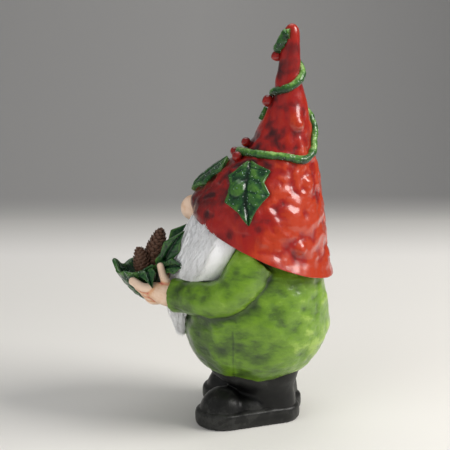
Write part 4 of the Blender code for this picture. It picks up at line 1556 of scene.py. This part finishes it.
class GNOME_OT_hands(GnomePiece, bpy.types.Operator):
    """Models and paints the hands"""

    bl_idname = "gnome.hands"
    bl_label = "Hands"

    def build(self, paints, sizes):
        skin = skin_paint(paints)
        for side, flip in (("left", False), ("right", True)):
            obj = cast(f"{side}_hand", hand_meshes(flip), HAND_GRAIN, 4)
            carve(obj.data, lambda point, normal: 0.00012 * lump(point, 0.004))
            cast_piece(obj, skin, rounds=30, depth=0.00030)


class GNOME_OT_nose(GnomePiece, bpy.types.Operator):
    """Models and paints the round nose"""

    bl_idname = "gnome.nose"
    bl_label = "Nose"

    def build(self, paints, sizes):
        sides, rows = 48, 24
        rings = []
        for r in range(1, rows):
            tilt = pi * r / rows
            turns = ring_angles(sides)
            level = NOSE_CENTRE - NOSE_RADIUS * cos(tilt) * Z_AXIS
            reach = NOSE_RADIUS * sin(tilt)
            rings.append([level + reach * Vector((cos(t), sin(t), 0)) for t in turns])
        ends = (NOSE_CENTRE - NOSE_RADIUS * Z_AXIS, NOSE_CENTRE + NOSE_RADIUS * Z_AXIS)
        mesh = loft("nose", rings, *ends)
        carve(mesh, lambda point, normal: 0.00025 * lump(point, 0.007))
        cast_piece(shown("nose", mesh), skin_paint(paints), rounds=10, depth=0.0006)


class GNOME_OT_vine(GnomePiece, bpy.types.Operator):
    """Winds the vine round the hat"""

    bl_idname = "gnome.vine"
    bl_label = "Vine"

    def build(self, paints, sizes):
        count = 520
        radius = sizes.vine_radius
        places = [along(VINE_PATH, i / (count - 1)) for i in range(count)]
        points = [on_hat(*place, 0.40 * radius) for place in places]
        for _ in range(6):
            inner = zip(points, points[1:], points[2:])
            points = [points[0], *((a + 2 * b + c) / 4 for a, b, c in inner), points[-1]]
        line = plain_mesh("vine", points, [(i, i + 1) for i in range(count - 1)])
        green = vine_paint()
        obj = vine_graph().run(
            shown("vine", line), Radius=radius, Roughness=0.0014, Sides=20, Paint=green
        )
        cast_piece(obj, green, rounds=12, depth=0.00030)


class GNOME_OT_hat_leaves(GnomePiece, bpy.types.Operator):
    """Lays holly leaves on the hat"""

    bl_idname = "gnome.hat_leaves"
    bl_label = "Hat leaves"

    def build(self, paints, sizes):
        green = leaf_paint(paints)
        for name, row in HAT_LEAVES.items():
            mesh = hat_leaf(f"{name}_hat_leaf", *row)
            cast_piece(shown(f"{name}_hat_leaf", mesh), green, rounds=8, depth=0.00022)


class GNOME_OT_berries(GnomePiece, bpy.types.Operator):
    """Sets berries along the vine"""

    bl_idname = "gnome.berries"
    bl_label = "Berries"

    def build(self, paints, sizes):
        points = [on_hat(degrees, height, 0.60 * radius) for degrees, height, radius in BERRIES]
        radii = [berry[-1] for berry in BERRIES]
        mesh = plain_mesh("berries", points)
        store = mesh.attributes.new("radius_of_berry", "FLOAT", "POINT")
        store.data.foreach_set("value", radii)
        red = berry_paint()
        obj = berry_graph().run(shown("berries", mesh), Rings=20, Paint=red)
        carve(obj.data, lambda point, normal: 0.00018 * lump(point, 0.0028))
        cast_piece(obj, red, rounds=6, depth=0.0004)


class GNOME_OT_dish(GnomePiece, bpy.types.Operator):
    """Models the dish of holly leaves"""

    bl_idname = "gnome.dish"
    bl_label = "Leaf dish"

    def build(self, paints, sizes):
        green = leaf_paint(paints)
        mesh = dish_mesh()
        carve(mesh, lambda point, normal: 0.00018 * lump(point, 0.004))
        cast_piece(shown("dish", mesh), green, rounds=8, depth=0.00022)
        for name, leaf in DISH_LEAVES.items():
            mesh = free_leaf(f"{name}_dish_leaf", *leaf)
            cast_piece(shown(f"{name}_dish_leaf", mesh), green, rounds=8, depth=0.00022)


class GNOME_OT_cones(GnomePiece, bpy.types.Operator):
    """Grows the pine cones scale by scale"""

    bl_idname = "gnome.cones"
    bl_label = "Pine cones"

    def build(self, paints, sizes):
        brown = cone_paint()
        graph = cone_graph()
        for name, (base, tip, radius) in CONES.items():
            axis = tip - base
            seed = bpy.data.meshes.new(f"{name}_pine_cone")
            share = axis.length / CONE_FULL_LENGTH
            obj = graph.run(
                shown(f"{name}_pine_cone", seed),
                Length=axis.length,
                Radius=radius,
                Scales=int(sizes.scales * share),
                Scale_Size=CONE_SCALE_SHARE * radius,
                Paint=brown,
            )
            turn = axis.to_track_quat("Z", "Y").to_matrix().to_4x4()
            obj.data.transform(Matrix.Translation(base) @ turn)
            cast_piece(obj, brown, rounds=4, depth=0.00022)


class GNOME_OT_beard(GnomePiece, bpy.types.Operator):
    """Grows the fur beard on its core"""

    bl_idname = "gnome.beard"
    bl_label = "Beard"

    def build(self, paints, sizes):
        core = shown("beard_core", frame["nodes"]["beard"].data.copy())
        merge = core.modifiers.new("merge", "WELD")
        merge.merge_threshold = 0.000001
        skin = core.modifiers.new("skin", "REMESH")
        skin.mode = "VOXEL"
        skin.voxel_size = BEARD_GRAIN
        soften = core.modifiers.new("soften", "SMOOTH")
        soften.iterations = 6
        baked(core)
        down = fur_paint("beard_underfur", (0.74, 0.73, 0.72), (0.98, 0.97, 0.96))
        finished(core, "beard", down)
        fur = fur_paint("beard_fur_fibre", (0.68, 0.67, 0.66), (1.0, 1.0, 1.0))
        graph = fur_graph()
        for name, seed, lift in FUR_LAYERS:
            guides = shown(name, beard_guides(sizes.locks, seed, lift))
            obj = graph.run(
                guides,
                Strands=sizes.strands,
                Spread=FUR_SPREAD,
                Width=sizes.strand_width,
                Seed=seed,
                Paint=fur,
            )
            finished(obj, "beard", fur)


class GNOME_OT_glitter(GnomePiece, bpy.types.Operator):
    """Scatters glitter flakes on the leaves and the vine"""

    bl_idname = "gnome.glitter"
    bl_label = "Glitter"

    def build(self, paints, sizes):
        leafy = [
            obj.data
            for obj in bpy.data.objects
            if obj.name.endswith("_hat_leaf") or obj.name in ("vine", "dish")
        ]
        glitter = flake_paint()
        obj = flake_graph().run(
            shown("glitter", joined_mesh("glitter", leafy)),
            Density=sizes.flakes,
            Flake=FLAKE_SIZE,
            Seed=5,
            Paint=glitter,
        )
        finished(obj, "figure", glitter)


class GNOME_OT_stage(GnomePiece, bpy.types.Operator):
    """Sets the floor, the backdrop, the lights and the camera"""

    bl_idname = "gnome.stage"
    bl_label = "Stage"

    def build(self, paints, sizes):
        scene = bpy.context.scene
        scene.view_settings.view_transform = "Standard"
        back = Vector(
            (
                sin(CAMERA_AZIMUTH) * cos(CAMERA_ELEVATION),
                -cos(CAMERA_AZIMUTH) * cos(CAMERA_ELEVATION),
                sin(CAMERA_ELEVATION),
            )
        )
        right = Vector((cos(CAMERA_AZIMUTH), sin(CAMERA_AZIMUTH), 0))
        up = back.cross(right)
        self.camera(scene, back)
        self.sweep(back, right)
        for name, (place, *values) in LIGHTS.items():
            self.light(name, TARGET + place[0] * right + place[1] * up + place[2] * back, *values)
        world = bpy.data.worlds.new("studio")
        world.use_nodes = True
        inputs = world.node_tree.nodes["Background"].inputs
        inputs["Color"].default_value = ROOM_COLOUR
        inputs["Strength"].default_value = ROOM_LIGHT
        scene.world = world

    def camera(self, scene, back):
        """A long lens at the photograph's angle."""
        data = bpy.data.cameras.new("photo_camera")
        data.lens = LENS
        data.sensor_width = 36
        camera = shown("photo_camera", data)
        camera.location = TARGET + CAMERA_DISTANCE * back
        camera.rotation_euler = (TARGET - camera.location).to_track_quat("-Z", "Y").to_euler()
        scene.camera = camera

    def light(self, name, place, size, watts, colour, glints):
        """A soft box that faces the figure."""
        data = bpy.data.lights.new(name, "AREA")
        data.shape = "DISK"
        data.size = size
        data.energy = watts
        data.color = colour
        lamp = shown(name, data)
        lamp.location = place
        lamp.rotation_euler = (TARGET - place).to_track_quat("-Z", "Y").to_euler()
        lamp.visible_glossy = glints

    def sweep(self, back, right):
        """A pale floor that bends up into a wall far behind, grey up the wall and darker sideways as
        painted shade.
        """
        away = Vector((-back.x, -back.y, 0)).normalized()
        profile = [(SHEET_FRONT, 0.0), (0.10, 0.0), (BEND_START, 0.0)]
        for angle in (radians(3 * k) for k in range(1, 29)):
            profile.append((BEND_START + BEND_RADIUS * sin(angle), BEND_RADIUS * (1 - cos(angle))))
        profile.append((BEND_START + BEND_RADIUS, WALL_HEIGHT))
        points, faces = [], []
        for reach, height in profile:
            for side in (-SHEET_HALF_WIDTH, SHEET_HALF_WIDTH):
                points.append(away * reach + right * side + height * Z_AXIS)
        for i in range(len(profile) - 1):
            faces.append((2 * i, 2 * i + 1, 2 * i + 3, 2 * i + 2))
        mesh = plain_mesh("backdrop", points, (), faces)
        mesh.shade_smooth()
        sheet = shown("backdrop", mesh)
        if mesh.polygons[0].normal.z < 0:
            mesh.flip_normals()
        paint = Paint("backdrop_sheet")
        place = paint.add("ShaderNodeSeparateXYZ", {"Vector": paint.place}).outputs
        share = paint.spread(place["Z"], 0.0, 1.0, 0.0, SHADE_HEIGHT)
        wall = paint.spread(share, 0.0, 1.0, SHADES[-2][0], SHADES[-1][0])
        # The wall darkens sideways: painted shade.
        side = paint.spread(place["Y"], 0.0, 1.0, *SIDE_SPAN)
        inputs = {0: wall, 6: paint.ramp(share, SHADES), 7: paint.ramp(side, PAINTED_SIDE_SHADE)}
        mix = paint.add("ShaderNodeMix", inputs, data_type="RGBA")
        paint.put(paint.shader, "Base Color", mix.outputs[2])
        paint.put(paint.shader, "Roughness", 0.6)
        behind = paint.add("ShaderNodeNewGeometry").outputs["Backfacing"]
        clear = paint.first("ShaderNodeBsdfTransparent")
        inputs = {0: behind, 1: paint.shader.outputs[0], 2: clear}
        one_sided = paint.first("ShaderNodeMixShader", inputs)
        paint.put(paint.tree.nodes["Material Output"], "Surface", one_sided)
        mesh.materials.append(paint.material)


class GNOME_PT_panel(bpy.types.Panel):
    """Lists the pieces of the gnome"""

    bl_idname = "GNOME_PT_panel"
    bl_label = "Gnome figurine"
    bl_space_type = "VIEW_3D"
    bl_region_type = "UI"
    bl_category = "Gnome"

    def draw(self, context):
        layout = self.layout
        for group in (context.scene.gnome_paints, context.scene.gnome_sizes):
            for key in group.__annotations__:
                layout.prop(group, key)
        for operator in OPERATORS:
            layout.operator(operator.bl_idname)


OPERATORS = (
    GNOME_OT_hat,
    GNOME_OT_robe,
    GNOME_OT_boots,
    GNOME_OT_hands,
    GNOME_OT_nose,
    GNOME_OT_vine,
    GNOME_OT_hat_leaves,
    GNOME_OT_berries,
    GNOME_OT_dish,
    GNOME_OT_cones,
    GNOME_OT_beard,
    GNOME_OT_glitter,
    GNOME_OT_stage,
)
CLASSES = (GnomePaints, GnomeSizes, *OPERATORS, GNOME_PT_panel)


def register():
    """Makes the classes known to Blender."""
    for each in CLASSES:
        bpy.utils.register_class(each)
    bpy.types.Scene.gnome_paints = PointerProperty(type=GnomePaints)
    bpy.types.Scene.gnome_sizes = PointerProperty(type=GnomeSizes)


def unregister():
    """Takes the classes out again."""
    del bpy.types.Scene.gnome_sizes
    del bpy.types.Scene.gnome_paints
    for each in reversed(CLASSES):
        bpy.utils.unregister_class(each)


def main():
    """Builds every piece and the stage."""
    register()
    for operator in OPERATORS:
        getattr(bpy.ops.gnome, operator.bl_idname.split(".")[1])()


if __name__ == "__main__":
    main()
